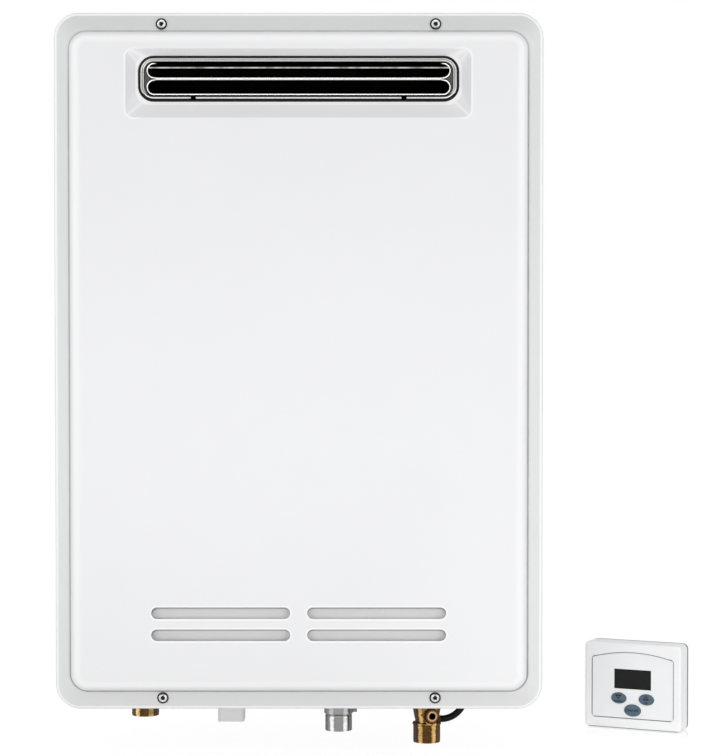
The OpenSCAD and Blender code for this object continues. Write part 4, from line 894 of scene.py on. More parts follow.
@dataclass(frozen=True)
class Rolled(Brushed):
    """Polished outlet with painted highlights on its rolled edges and painted shade on the flats between
    them; depths are from the wall.
    """

    rim: Outline = Outline(mm(0, 10), mm(120.5, 16), 10.5 * MM)
    rim_edge: Pair = mm(3.6, 3.3)
    rim_depth: Pair = mm(178.05, 178.5)
    band_span: float = 5 * MM
    # Painted highlights and painted shade in bands across the rim.
    bands: tuple[Pair, ...] = (
        (0.3 * MM, 0.01), (0.6 * MM, 0.95), (1.2 * MM, 0.85), (1.5 * MM, 0.3),
        (1.9 * MM, 0.22), (2.3 * MM, 0.55), (2.9 * MM, 0.5), (3.3 * MM, 0.015),
    )
    low_bands: tuple[Pair, ...] = (
        (0.6 * MM, 0.01), (1.0 * MM, 0.3), (1.4 * MM, 0.55), (2.0 * MM, 0.4), (2.4 * MM, 0.015),
    )
    low_from: Pair = mm(-10, -12)
    # Painted shade on the flats; painted highlights on the vents' beads, the divider and the deflector's
    # edge; painted shade inside.
    flat_shade: float = 0.11
    flat_edge: Pair = mm(1.4, 1.9)
    vent_half: float = 114.5 * MM
    vent_r: float = 4.8 * MM
    vent_rise: float = 6.3 * MM
    vent_straight: Pair = mm(111.5, 107.5)
    bead_highlight: Pair = mm(1.25, 0.8)
    upper_bead_shade: Pair = mm(9.3, 10.1)
    divider_highlight: Pair = mm(1.0, 0.5)
    divider_gap: Pair = mm(2.4, 1.8)
    vane_rise: Pair = mm(7.9, 8.1)
    vane_fall: Pair = mm(9.3, 9.1)
    vane_depth: Pair = mm(176.5, 176.8)
    vane_highlight: float = 0.7
    wave_size: float = 14 * MM
    wave_stretch: Place = (1.0, 0.0, 0.0)
    wave_patches: Pair = (0.35, 0.6)
    wave_low: float = 0.35
    wave_gain: float = 0.65
    deep_depth: Pair = mm(177.6, 177.1)
    deep_shade: float = 0.003

    def vents(self, net: Net, height: Wire) -> Wire:
        """Paints shade on the flats and the upper bead, and highlights on the vents' rolled edges and the
        line between the vents.

        Args:
            net: the material's nodes.
            height: height above the outlet's middle.

        Returns:
            The shade.
        """
        across = abs(net.at(Axis.X))
        straight = across.ease(*self.vent_straight)
        beyond = across - (self.vent_half - self.vent_r)
        edge = net.reach(beyond.most(0.0), abs(height) - self.vent_rise) - self.vent_r
        # Painted highlight on the vents' beads, with painted shade on the upper bead.
        bead_highlight = edge.ease(*self.bead_highlight) * (1.0 - height.ease(*self.upper_bead_shade) * straight)
        shade = bead_highlight.most(edge.ease(*self.flat_edge) * self.flat_shade)
        between = abs(height).ease(*self.divider_gap) * straight
        return shade + between * (abs(height).ease(*self.divider_highlight) - shade)

    def inner(self, net: Net, depth: Wire, height: Wire) -> Wire:
        """Paints shade on the inside and an uneven highlight on the deflector's edge.

        Args:
            net: the material's nodes.
            depth: distance from the wall.
            height: height above the outlet's middle.

        Returns:
            The shade.
        """
        vane = height.band(self.vane_rise, self.vane_fall) * depth.ease(*self.vane_depth)
        patches = net.noise(self.wave_size, stretch=self.wave_stretch).ease(*self.wave_patches)
        wave = self.wave_low + patches * self.wave_gain
        return vane * wave * self.vane_highlight + self.deep_shade

    def layers(self, net: Net) -> Layers:
        """Adds the rim's bands of painted highlights and shade, the vents' painted edges and the painted
        shade inside.

        Args:
            net: the material's nodes.

        Returns:
            The layers that feed the shader.
        """
        layers = super().layers(net)
        depth = 0.0 - net.at(Axis.Y)
        height = net.at(Axis.Z) - self.rim.middle[1]
        inside = net.inset(self.rim)
        greys = ([(at, (tone, tone, tone)) for at, tone in rows] for rows in (self.bands, self.low_bands))
        bands, low_bands = (net.part(net.ramp(inside, self.band_span, stops), Axis.X) for stops in greys)
        bands = bands + height.ease(*self.low_from) * (low_bands - bands)
        shade = self.vents(net, height)
        # Painted highlights and shade of the rim's bands over the vents' painted edges, then painted shade
        # inside.
        shade = shade + inside.ease(*self.rim_edge) * (bands * depth.ease(*self.rim_depth) - shade)
        shade = shade + depth.ease(*self.deep_depth) * (self.inner(net, depth, height) - shade)
        layers.colour = net.dim(layers.colour, shade)
        return layers


@dataclass(frozen=True)
class ScrewHead(Finish):
    """Plated screw heads with painted shade on the rim and in the recess, set evenly around the cover's
    middle.
    """

    spot: Pair = mm(104, 256.55)
    middle: float = -205.25 * MM
    recess_edge: Pair = mm(1.4, 2.0)
    cap_edge: Pair = mm(3.35, 2.95)
    screw_shade: Colour = (0.016, 0.016, 0.017)

    def layers(self, net: Net) -> Layers:
        """Adds the painted shade on the rim and in the recess.

        Args:
            net: the material's nodes.

        Returns:
            The layers that feed the shader.
        """
        layers = super().layers(net)
        across = abs(net.at(Axis.X)) - self.spot[0]
        along = abs(net.at(Axis.Z) - self.middle) - self.spot[1]
        bright = net.reach(across, along).band(self.recess_edge, self.cap_edge)
        # Painted shade on the head's rim and in its recess.
        layers.colour = net.blend(bright, self.screw_shade, layers.colour)
        return layers


@dataclass(frozen=True)
class Sooted(Finish):
    """Steel that flue gas has coloured: bluish, brown and black bands."""

    brown: Colour = (0.040, 0.030, 0.022)
    blue: Colour = (0.020, 0.022, 0.030)
    band_stops: tuple[float, ...] = (0.2, 0.5, 0.8)
    band_size: float = 50 * MM
    soot: Colour = (0.004, 0.004, 0.004)
    soot_share: float = 0.85
    soot_size: float = 18 * MM
    soot_patches: Pair = (0.15, 0.55)
    soot_gloss: float = 0.3

    def layers(self, net: Net) -> Layers:
        """Adds the heat colours and the soot.

        Args:
            net: the material's nodes.

        Returns:
            The layers that feed the shader.
        """
        layers = super().layers(net)
        stops = list(zip(self.band_stops, (self.colour, self.brown, self.blue)))
        bands = net.add("ShaderNodeValToRGB", {"stops": stops}, {0: net.noise(self.band_size)})
        soot = net.noise(self.soot_size, Detail.FINE).ease(*self.soot_patches) * self.soot_share
        layers.colour = net.blend(soot, bands, self.soot)
        layers.roughness = layers.roughness + soot * self.soot_gloss
        return layers


@dataclass(frozen=True)
class Laminate(Finish):
    """Printed board: solder mask over rows of copper tracks."""

    track: float = 2.4 * MM
    track_edge: Pair = (0.12, 0.2)
    track_rise: float = 0.03 * MM
    track_colour: Colour = (0.09, 0.34, 0.15)

    def layers(self, net: Net) -> Layers:
        """Adds the tracks.

        Args:
            net: the material's nodes.

        Returns:
            The layers that feed the shader.
        """
        layers = super().layers(net)
        mask = net.cells(self.track, "DISTANCE_TO_EDGE").ease(*self.track_edge)
        layers.colour = net.blend(mask, self.track_colour, layers.colour)
        layers.normal = net.bump(1.0 - mask, self.track_rise, layers.normal)
        return layers


@dataclass(frozen=True)
class Window(Finish):
    """Dark display window with the faint grid of the unlit panel behind it."""

    cell: float = 0.9 * MM
    cell_middle: float = 0.5
    cell_edge: Pair = (0.3, 0.45)
    cell_share: float = 0.6
    cell_colour: Colour = (0.022, 0.023, 0.024)

    def layers(self, net: Net) -> Layers:
        """Adds the unlit grid.

        Args:
            net: the material's nodes.

        Returns:
            The layers that feed the shader.
        """
        layers = super().layers(net)
        rows = net.at(Axis.Z) * (1.0 / self.cell)
        grid = abs(rows.maths("FRACT", rows) - self.cell_middle).ease(*self.cell_edge)
        layers.colour = net.blend(grid * self.cell_share, layers.colour, self.cell_colour)
        return layers


@dataclass(frozen=True)
class Inlay(Finish):
    """Inset film of the controller with painted shade as a dark line along its edge; lengths are in metres.
    """

    seat: Seat = CONTROLLER_SEAT
    half_wide: float = 35.25 * MM
    low: float = -27 * MM
    arch_r: float = 124.07 * MM
    arch_middle: float = -96.07 * MM
    line: Pair = mm(0.75, 0.45)
    shade_line_colour: Colour = (0.17, 0.175, 0.18)

    def layers(self, net: Net) -> Layers:
        """Adds the painted shade line.

        Args:
            net: the material's nodes.

        Returns:
            The layers that feed the shader.
        """
        layers = super().layers(net)
        across, _, up = net.seated(self.seat)
        arch = self.arch_r - net.reach(across, up - self.arch_middle)
        inside = (self.half_wide - abs(across)).least(up - self.low).least(arch)
        # Painted shade along the inset's edge.
        layers.colour = net.blend(inside.ease(*self.line), layers.colour, self.shade_line_colour)
        return layers


@dataclass(frozen=True)
class Shell(Finish):
    """White moulding with painted shade along its rear and lower edges; lengths are in metres."""

    seat: Seat = CONTROLLER_SEAT
    rear: Pair = mm(-6.4, -6.8)
    back: Pair = mm(-9.9, -9.6)
    low: Pair = mm(-34.5, -34.9)
    # Colour of the painted shade along the rear and lower edges.
    edge_colour: Colour = (0.15, 0.155, 0.16)

    def layers(self, net: Net) -> Layers:
        """Adds the painted shade on the edges.

        Args:
            net: the material's nodes.

        Returns:
            The layers that feed the shader.
        """
        layers = super().layers(net)
        _, ahead, up = net.seated(self.seat)
        grey = ahead.band(self.rear, self.back).most(up.ease(*self.low))
        # Painted shade along the rear and lower edges.
        layers.colour = net.blend(grey, layers.colour, self.edge_colour)
        return layers


POWDER: dict[str, float] = dict(
    drift=0.012, drift_size=90 * MM, gloss_spread=0.05, grain_size=1.6 * MM, grain_depth=0.010 * MM
)
SATIN: dict[str, float] = dict(grain_size=1.2 * MM, grain_depth=0.012 * MM)
FILM: dict[str, float] = dict(
    drift=0.012, drift_size=20 * MM, grain_size=0.3 * MM, grain_depth=0.006 * MM
)
MOULDING: dict[str, float] = dict(
    drift=0.01, drift_size=25 * MM, grain_size=0.5 * MM, grain_depth=0.006 * MM
)
TURNED: dict[str, float] = dict(metallic=1.0, drift=0.08, drift_size=6 * MM)


class FinishBook:
    """Finish of every material slot, and the pieces that differ from their slot."""

    SLOTS: dict[Slot, Finish] = {
        Slot.WHITE_PAINT: Finish("white_powder_coat", (0.855, 0.857, 0.868), 0.34, **POWDER),
        Slot.GREY_PAINT: Finish("grey_satin_coat", (0.74, 0.75, 0.75), 0.46, drift=0.03, **SATIN),
        Slot.GALVANISED: Spangle("galvanised_sheet", (0.56, 0.575, 0.59), 0.42, 0.9, drift=0.05),
        Slot.STAINLESS: Brushed(
            "bright_stainless", (0.66, 0.655, 0.64), 0.17, 1.0, drift=0.03, gloss_spread=0.04
        ),
        Slot.ZINC: Finish("zinc_plate", (0.62, 0.63, 0.64), 0.24, 1.0, drift=0.08, drift_size=4 * MM),
        Slot.BRASS: Tarnished("turned_brass", (0.40, 0.225, 0.068), 0.28, **TURNED),
        Slot.NICKEL: Finish(
            "nickel_plate", (0.60, 0.595, 0.58), 0.20, 1.0, drift=0.06, drift_size=8 * MM,
            grain_depth=0.006 * MM,
        ),
        Slot.COPPER: Tarnished(
            "drawn_copper", (0.68, 0.30, 0.16), 0.30, 1.0, film=(0.16, 0.05, 0.03), film_share=0.5
        ),
        Slot.BLACK_RUBBER: Finish(
            "black_rubber", (0.014, 0.014, 0.015), 0.58, drift=0.15, grain_size=0.5 * MM,
            grain_depth=0.02 * MM, specular=0.35,
        ),
        Slot.CAST_ALLOY: Tarnished(
            "die_cast_alloy", (0.40, 0.405, 0.41), 0.48, 0.9, film=(0.22, 0.22, 0.22), film_share=0.4
        ),
        Slot.COIL_BLUE: Finish("coil_cover_blue", (0.02, 0.045, 0.20), 0.35, drift=0.08),
        Slot.BLACK_PLASTIC: Finish(
            "black_moulding", (0.022, 0.022, 0.023), 0.5, drift=0.1, grain_size=0.4 * MM,
            grain_depth=0.015 * MM,
        ),
        Slot.WHITE_PLASTIC: Finish("white_moulding", (0.955, 0.957, 0.965), 0.36, **MOULDING),
        Slot.CERAMIC: Finish("glazed_ceramic", (0.80, 0.77, 0.70), 0.22, drift=0.03, coat=0.3),
        Slot.BOARD_GREEN: Laminate("printed_board", (0.015, 0.115, 0.045), 0.4, drift=0.06),
        Slot.KEY_GREY: Finish("silver_grey_film", (0.765, 0.785, 0.80), 0.42, **FILM),
        Slot.KEY_BLUE: Finish(
            "slate_blue_key", (0.070, 0.120, 0.158), 0.5, drift=0.06, drift_size=5 * MM,
            grain_size=0.3 * MM, grain_depth=0.010 * MM,
        ),
        Slot.DISPLAY: Window(
            "display_window", (0.014, 0.0142, 0.0148), 0.2, drift=0.05, grain_depth=0.0, specular=0.1
        ),
    }
    COVER = CoverPaint("cover_powder_coat", (0.855, 0.857, 0.872), 0.34, **POWDER)
    GRILLE = Rolled(
        "rolled_stainless", (0.86, 0.86, 0.85), 0.16, 1.0, drift=0.04, gloss_spread=0.04, tint_share=0.05
    )
    SCREWS = ScrewHead("screw_plate", (0.66, 0.66, 0.66), 0.24, 1.0, drift=0.05, drift_size=4 * MM)
    HOT = PaintedReflections(
        "hot_outlet_brass", (0.92, 0.66, 0.30), 0.25, film=(0.24, 0.11, 0.03), film_share=0.5,
        # Painted shade on the hot outlet's right side.
        axis=mm(-125, -95), right_share=0.6, **TURNED,
    )
    COLD = Bossed(
        "cold_inlet_brass", (0.72, 0.47, 0.18), 0.25, film=(0.16, 0.07, 0.02), film_share=0.5,
        axis=mm(100, -95), **TURNED,
    )
    GAS = PaintedReflections(
        "gas_inlet_plate", (0.96, 0.96, 0.955), 0.18, 1.0, drift=0.04, drift_size=8 * MM,
        film=(0.30, 0.30, 0.295), film_share=0.35, pit_depth=0.01 * MM, axis=mm(29.5, -95),
        dark_reflection_and_shade=(0.17, 0.17, 0.168), reflection_and_shade_share=0.9, dull_level=-489.4 * MM,
    )
    # Painted light: the baffle's coat is whiter than the cover's white coat, against the shade behind the
    # slots.
    BAFFLE = SlotPlate("baffle_coat", (0.975, 0.975, 0.975), 0.5, drift=0.02, **SATIN)
    # Painted light: the shield's coat is lighter than the grey satin coat, against the shade under the
    # casing.
    SHIELD = Finish("shield_coat", (0.90, 0.90, 0.90), 0.46, drift=0.02, **SATIN)
    # Painted light: the inlay is lighter than the silver grey film, against the shade the heater casts on
    # the controller.
    INLAY = Inlay("silver_grey_inlay", (0.925, 0.935, 0.942), 0.42, **FILM)
    SHELL = Shell("controller_moulding", (0.955, 0.957, 0.965), 0.36, **MOULDING)
    LEAD = Finish(
        "lead_sleeve", (0.005, 0.005, 0.005), 0.5, drift=0.1, grain_size=0.8 * MM, grain_depth=0.02 * MM,
        specular=0.12,
    )
    FLUE = Sooted("sooted_flue_sheet", (0.030, 0.028, 0.027), 0.6, 0.3, specular=0.2)
    MARK = Finish(
        "key_print", (0.008, 0.014, 0.020), 0.6, drift=0.06, drift_size=2 * MM, grain_depth=0.004 * MM,
        specular=0.15,
    )
    BY_NODE: dict[str, Finish] = {
        "front_cover": COVER,
        "inlet_baffle": BAFFLE,
        "exhaust_grille": GRILLE,
        "cover_screws": SCREWS,
        "hot_outlet": HOT,
        "cold_inlet": COLD,
        "drain_plug": COLD,
        "cable_shield": SHIELD,
        "remote_panel": INLAY,
        "remote_back": SHELL,
        "remote_front": SHELL,
        "sensor_lead": LEAD,
        "gas_inlet": GAS,
        "flue_hood": FLUE,
        "burner_box": FLUE,
        "burner_bars": FLUE,
        "combustion_chamber": FLUE,
    }

    def __init__(self) -> None:
        """Starts without a material."""
        self._made: dict[str, bpy.types.Material] = {}

    def material(self, finish: Finish) -> bpy.types.Material:
        """Hands back a finish's material, made once.

        Args:
            finish: the finish.

        Returns:
            Its Blender material.
        """
        if finish.name not in self._made:
            self._made[finish.name] = finish.material()
        return self._made[finish.name]

    def dress(self, piece: bpy.types.Object, finish: Finish) -> None:
        """Gives a piece one finish.

        Args:
            piece: object that is dressed.
            finish: its finish.
        """
        piece.data.materials.clear()
        piece.data.materials.append(self.material(finish))

    def dress_nodes(self, parts: dict[str, bpy.types.Object], rows: Iterable[dict[str, str]]) -> None:
        """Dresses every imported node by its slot.

        Args:
            parts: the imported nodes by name.
            rows: the record's rows of node and slot.
        """
        for row in rows:
            node, slot = row["node"], Slot(row["material_slot"])
            finish = self.BY_NODE.get(node, self.SLOTS[slot])
            self.dress(parts[node], finish)
            LOG.info("%s: %s", node, finish.name)


def link_object(name: str, data: bpy.types.ID) -> bpy.types.Object:
    """Adds an object to the scene.

    Args:
        name: name of the object.
        data: its mesh, light, camera or curve.

    Returns:
        The new object.
    """
    item = bpy.data.objects.new(name, data)
    bpy.context.scene.collection.objects.link(item)
    return item


def add_piece(
    name: str, mesh: bpy.types.Mesh, body: Body, crease: float = CREASE
) -> bpy.types.Object:
    """Adds a mesh to the scene as a piece of the object.

    Args:
        name: name of the piece.
        mesh: its mesh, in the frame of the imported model.
        body: body that it moves with.
        crease: angle above which an edge stays sharp.

    Returns:
        The new object.
    """
    mesh.name = name
    mesh.shade_smooth()
    mesh.set_sharp_from_angle(angle=crease)
    piece = link_object(name, mesh)
    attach(piece, body.value)
    LOG.info("%s rides on %s", name, body.value)
    return piece


def close_form(form: bmesh.types.BMesh, place: Matrix | None = None) -> bpy.types.Mesh:
    """Turns a finished form into a mesh with its normals outwards.

    Args:
        form: the form, which is freed.
        place: frame that the form was drawn in, if it isn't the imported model's.

    Returns:
        The mesh.
    """
    bmesh.ops.recalc_face_normals(form, faces=form.faces)
    mesh = bpy.data.meshes.new("form")
    form.to_mesh(mesh)
    form.free()
    if place is not None:
        mesh.transform(place)
    return mesh


def circle(steps: int) -> list[Pair]:
    """Lists the cosine and sine of evenly spaced angles."""
    angles = [FULL_TURN * k / steps for k in range(steps)]
    return [(math.cos(angle), math.sin(angle)) for angle in angles]


def join_loops(
    form: bmesh.types.BMesh, first: Sequence[bmesh.types.BMVert], second: Sequence[bmesh.types.BMVert]
) -> None:
    """Joins two loops of points with a strip of faces.

    Args:
        form: form that gets the faces.
        first: points of one loop, in order.
        second: as many points of the other loop.
    """
    for k in range(len(first)):
        after = (k + 1) % len(first)
        form.faces.new((first[k], first[after], second[after], second[k]))


def skin_rings(form: bmesh.types.BMesh, rings: Sequence[Sequence[bmesh.types.BMVert]]) -> None:
    """Joins rings of points with faces and closes both ends.

    Args:
        form: form that gets the faces.
        rings: rings of the same number of points, in order.
    """
    for low, high in zip(rings, rings[1:]):
        join_loops(form, low, high)
    form.faces.new(rings[0])
    form.faces.new(rings[-1])


@dataclass
class PipeThread:
    """Thread that stands on a pipe stub; lengths are in metres, and halves are shares of the pitch."""

    name: str
    x: float
    low: float
    high: float
    finish: Finish
    y: float = -95 * MM
    radius: float = 10.67 * MM
    pitch: float = 1.81 * MM
    rise: float = 0.22 * MM
    sunk: float = 0.12 * MM
    root_half: float = 0.45
    crest_half: float = 0.14
    end_share: float = 0.05
    steps: int = 48

    def build(self) -> bpy.types.Object:
        """Sweeps the thread's ridge along its helix, with a run-in at both ends."""
        form = bmesh.new()
        turns = (self.high - self.low) / self.pitch - 1.0
        count = int(turns * self.steps)
        rings = []
        for i in range(count + 1):
            angle = FULL_TURN * i / self.steps
            share = max(self.end_share, min(1.0, 2.0 * i / self.steps, 2.0 * (count - i) / self.steps))
            root = self.radius - self.sunk
            crest = root + (self.rise + self.sunk) * share
            middle = self.low + self.pitch * (0.5 + i / self.steps)
            profile = (
                (root, -self.root_half), (crest, -self.crest_half),
                (crest, self.crest_half), (root, self.root_half),
            )
            rings.append([
                form.verts.new((
                    self.x + r * math.cos(angle), self.y + r * math.sin(angle), middle + dz * self.pitch
                ))
                for r, dz in profile
            ])
        skin_rings(form, rings)
        return add_piece(self.name, close_form(form), Body.HEATER)


@dataclass
class Shoulder:
    """Tapered body above a fitting's collar, turned around an upright axis; lengths are in metres."""

    name: str
    axis: Pair
    rows: tuple[Pair, ...]
    steps: int = 72

    def build(self) -> bpy.types.Object:
        """Lofts the body from its rows of height and radius."""
        form = bmesh.new()
        skin_rings(form, [
            [form.verts.new((self.axis[0] + r * c, self.axis[1] + r * s, z)) for c, s in circle(self.steps)]
            for z, r in self.rows
        ])
        return add_piece(self.name, close_form(form), Body.HEATER)


@dataclass
class PipeFittings:
    """Dress of the brass fittings below the casing; lengths are in metres."""

    casing_low: float = -470.5 * MM
    hot_drop: float = 18.6 * MM
    cold_drop: float = 40.1 * MM
    hot_thread: float = 16.6 * MM
    cold_thread: float = 14.5 * MM
    shoulder: tuple[Pair, ...] = (
        mm(-477.5, 11.0), mm(-484.5, 11.0), mm(-489.5, 10.1), mm(-493.2, 9.2),
        mm(-494.4, 9.2), mm(-495.0, 11.3), mm(-496.4, 11.5), mm(-496.9, 10.9),
    )

    def threads(self) -> list[PipeThread]:
        """Lists the threads of the hot outlet and the cold inlet."""
        rows = (
            ("hot_thread", self.hot_drop, self.hot_thread, FinishBook.HOT),
            ("cold_thread", self.cold_drop, self.cold_thread, FinishBook.COLD),
        )
        threads = []
        for name, drop, length, finish in rows:
            low = self.casing_low - drop
            threads.append(PipeThread(name, finish.axis[0], low, low + length, finish))
        return threads

    def build(self, book: FinishBook) -> None:
        """Adds the threads and the cold inlet's shoulder.

        Args:
            book: finishes of the pieces.
        """
        for thread in self.threads():
            book.dress(thread.build(), thread.finish)
        book.dress(Shoulder("cold_shoulder", book.COLD.axis, self.shoulder).build(), book.COLD)


class Mark(Enum):
    """Signs on the controller's buttons."""

    DOWN = "DOWN"
    UP = "UP"
    POWER = "ON/OFF"


@dataclass
class KeyCap:
    """Domed oval button with its flange and stem, drawn in the controller's own frame.

    Lengths are in metres. An edge row is an inset and a drop below the top, and a dome row is a share of
    the oval and a drop.
    """

    node: str
    body: Body
    mark: Mark
    x: float
    height: float
    wide: float
    tall: float
    stem_end: float = 6.0 * MM
    flange_low: float = 7.25 * MM
    flange_high: float = 8.25 * MM
    top: float = 10.8 * MM
    flange_out: float = 0.8 * MM
    stem_r: float = 1.8 * MM
    edge_rows: tuple[Pair, ...] = (mm(0, 0.55), mm(0.06, 0.38), mm(0.22, 0.25), mm(0.5, 0.19))
    dome_rows: tuple[Pair, ...] = ((0.75, 0.09 * MM), (0.45, 0.02 * MM), (0.15, 0.0))
    crease: float = math.radians(40)
    steps: int = 64

    def ring(
        self, form: bmesh.types.BMesh, wide: float, tall: float, depth: float
    ) -> list[bmesh.types.BMVert]:
        """Draws one oval ring.

        Args:
            form: form that gets the points.
            wide: half width of the ring.
            tall: half height of the ring.
            depth: its distance from the controller's middle plane.

        Returns:
            The points of the ring.
        """
        return [
            form.verts.new((self.x + wide * c, -depth, self.height + tall * s))
            for c, s in circle(self.steps)
        ]

    def build(self, place: Matrix) -> bpy.types.Object:
        """Lofts the stem, flange and domed cap.

        Args:
            place: the controller's frame.

        Returns:
            The button.
        """
        form = bmesh.new()
        a, b = self.wide / 2, self.tall / 2
        stem, out = self.stem_r, self.flange_out
        sizes = [
            (stem, stem, self.stem_end),
            (stem, stem, self.flange_low),
            (a + out, b + out, self.flange_low),
            (a + out, b + out, self.flange_high),
            (a, b, self.flange_high),
            *((a - inset, b - inset, self.top - drop) for inset, drop in self.edge_rows),
            *((a * share, b * share, self.top - drop) for share, drop in self.dome_rows),
        ]
        skin_rings(form, [self.ring(form, *size) for size in sizes])
        mesh = close_form(form, place)
        piece = add_piece(self.node + "_cap", mesh, self.body, self.crease)
        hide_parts(self.node)
        return piece


@dataclass
class KeyPrint:
    """Sign on a button: an outlined triangle with its word, or a word alone; lengths are in metres."""

    cap: KeyCap
    triangle_wide: float = 5.8 * MM
    triangle_tall: float = 3.8 * MM
    triangle_rise: float = 1.3 * MM
    corners: tuple[Pair, ...] = ((-0.5, -0.42), (0.5, -0.42), (0.0, 0.58))
    line: float = 0.75 * MM
    lines_less: Pair = (3.4, 3.0)
    word_drop: float = 2.5 * MM
    small_word: float = 2.2 * MM
    large_word: float = 3.1 * MM
    bold: float = 0.05 * MM
    smoothness: int = 3
    thick: float = 0.12 * MM
    proud: float = 0.03 * MM

    def loop(self, form: bmesh.types.BMesh, shrink: float, depth: float) -> list[bmesh.types.BMVert]:
        """Draws one of the triangle's outlines.

        Args:
            form: form that gets the points.
            shrink: thickness of the line that lies outside it.
            depth: its distance from the controller's middle plane.

        Returns:
            The three corners.
        """
        turn = 1.0 if self.cap.mark is Mark.UP else -1.0
        wide = self.triangle_wide - self.lines_less[0] * shrink
        tall = self.triangle_tall - self.lines_less[1] * shrink
        middle = self.cap.height + self.triangle_rise
        return [
            form.verts.new((self.cap.x + u * wide, -depth, middle + v * tall * turn))
            for u, v in self.corners
        ]

    def triangle(self, form: bmesh.types.BMesh) -> None:
        """Draws the outlined triangle as a thin frame.

        Args:
            form: form that gets the frame.
        """
        outer_front, outer_back, inner_front, inner_back = (
            self.loop(form, shrink, depth)
            for shrink in (0.0, self.line)
            for depth in (self.cap.top + self.proud, self.cap.top - self.thick)
        )
        join_loops(form, outer_front, inner_front)
        join_loops(form, outer_front, outer_back)
        join_loops(form, inner_front, inner_back)
        join_loops(form, outer_back, inner_back)

    def word(self, text: str, size: float, rise: float) -> bpy.types.Mesh:
        """Sets a short word as a thin solid.

        Args:
            text: the word.
            size: height of its line.
            rise: its height above the button's middle.

        Returns:
            The word's mesh in the controller's frame.
        """
        curve = bpy.data.curves.new("word", "FONT")
        curve.body = text
        curve.align_x = "CENTER"
        curve.align_y = "CENTER"
        curve.size = size
        curve.extrude = (self.thick + self.proud) / 2
        curve.offset = self.bold
        curve.resolution_u = self.smoothness
        letters = link_object("word", curve)
        shown = letters.evaluated_get(bpy.context.evaluated_depsgraph_get())
        mesh = bpy.data.meshes.new_from_object(shown)
        bpy.data.objects.remove(letters)
        bpy.data.curves.remove(curve)
        depth = self.cap.top + (self.proud - self.thick) / 2
        upright = Matrix.Rotation(RIGHT_ANGLE, 4, "X")
        mesh.transform(Matrix.Translation((self.cap.x, -depth, self.cap.height + rise)) @ upright)
        return mesh

    def build(self, place: Matrix) -> bpy.types.Object:
        """Joins the sign's shapes into one piece.

        Args:
            place: the controller's frame.

        Returns:
            The sign.
        """
        form = bmesh.new()
        text = self.cap.mark.value
        if self.cap.mark is Mark.POWER:
            form.from_mesh(self.word(text, self.large_word, 0.0))
        else:
            self.triangle(form)
            form.from_mesh(self.word(text, self.small_word, -self.word_drop))
        return add_piece(self.cap.node + "_sign", close_form(form, place), self.cap.body)


@dataclass
class Controller:
    """Dress of the wall controller; lengths are in metres."""

    seat: Seat = CONTROLLER_SEAT
    arrow_x: float = 11.9 * MM
    arrow_height: float = -10.3 * MM
    arrow_size: Pair = mm(12.8, 8.8)
    power_height: float = -19.9 * MM
    power_size: Pair = mm(14.1, 9.6)

    def caps(self) -> list[KeyCap]:
        """Lists the three buttons."""
        arrow, power = (self.arrow_height, *self.arrow_size), (self.power_height, *self.power_size)
        return [
            KeyCap("button_down", Body.KEY_DOWN, Mark.DOWN, -self.arrow_x, *arrow),
            KeyCap("button_up", Body.KEY_UP, Mark.UP, self.arrow_x, *arrow),
            KeyCap("button_power", Body.KEY_POWER, Mark.POWER, 0.0, *power),
        ]

    def build(self, book: FinishBook) -> None:
        """Adds the buttons and their signs.

        Args:
            book: finishes of the pieces.
        """
        place = self.seat.matrix()
        for cap in self.caps():
            book.dress(cap.build(place), book.SLOTS[Slot.KEY_BLUE])
            book.dress(KeyPrint(cap).build(place), book.MARK)


@dataclass(frozen=True)
class Lamp:
    """Lamp of the studio, turned to its aim; lengths are in metres."""

    name: str
    place: Place
    power: float
    aim: Place = (0.0, -0.1, -0.2)

    def light(self) -> bpy.types.Light:
        """Makes the light; each kind of lamp has its own."""
        raise NotImplementedError

    def build(self) -> bpy.types.Object:
        """Adds the lamp and turns it to its aim."""
        light = self.light()
        light.energy = self.power
        lamp = link_object(self.name, light)
        lamp.location = self.place
        lamp.rotation_euler = (Vector(self.aim) - Vector(self.place)).to_track_quat("-Z", "Y").to_euler()
        return lamp


@dataclass(frozen=True)
class Softbox(Lamp):
    """Wide soft lamp."""

    size: Pair = (1.8, 1.8)

    def light(self) -> bpy.types.Light:
        """Makes a rectangle of light."""
        light = bpy.data.lights.new(self.name, "AREA")
        light.shape = "RECTANGLE"
        light.size, light.size_y = self.size
        return light


@dataclass(frozen=True)
class Spotlight(Lamp):
    """Narrow soft lamp that lights one piece."""

    beam: float = math.radians(9)
    blend: float = 0.5
    radius: float = 0.12

    def light(self) -> bpy.types.Light:
        """Makes a soft cone of light."""
        light = bpy.data.lights.new(self.name, "SPOT")
        light.spot_size = self.beam
        light.spot_blend = self.blend
        light.shadow_soft_size = self.radius
        return light


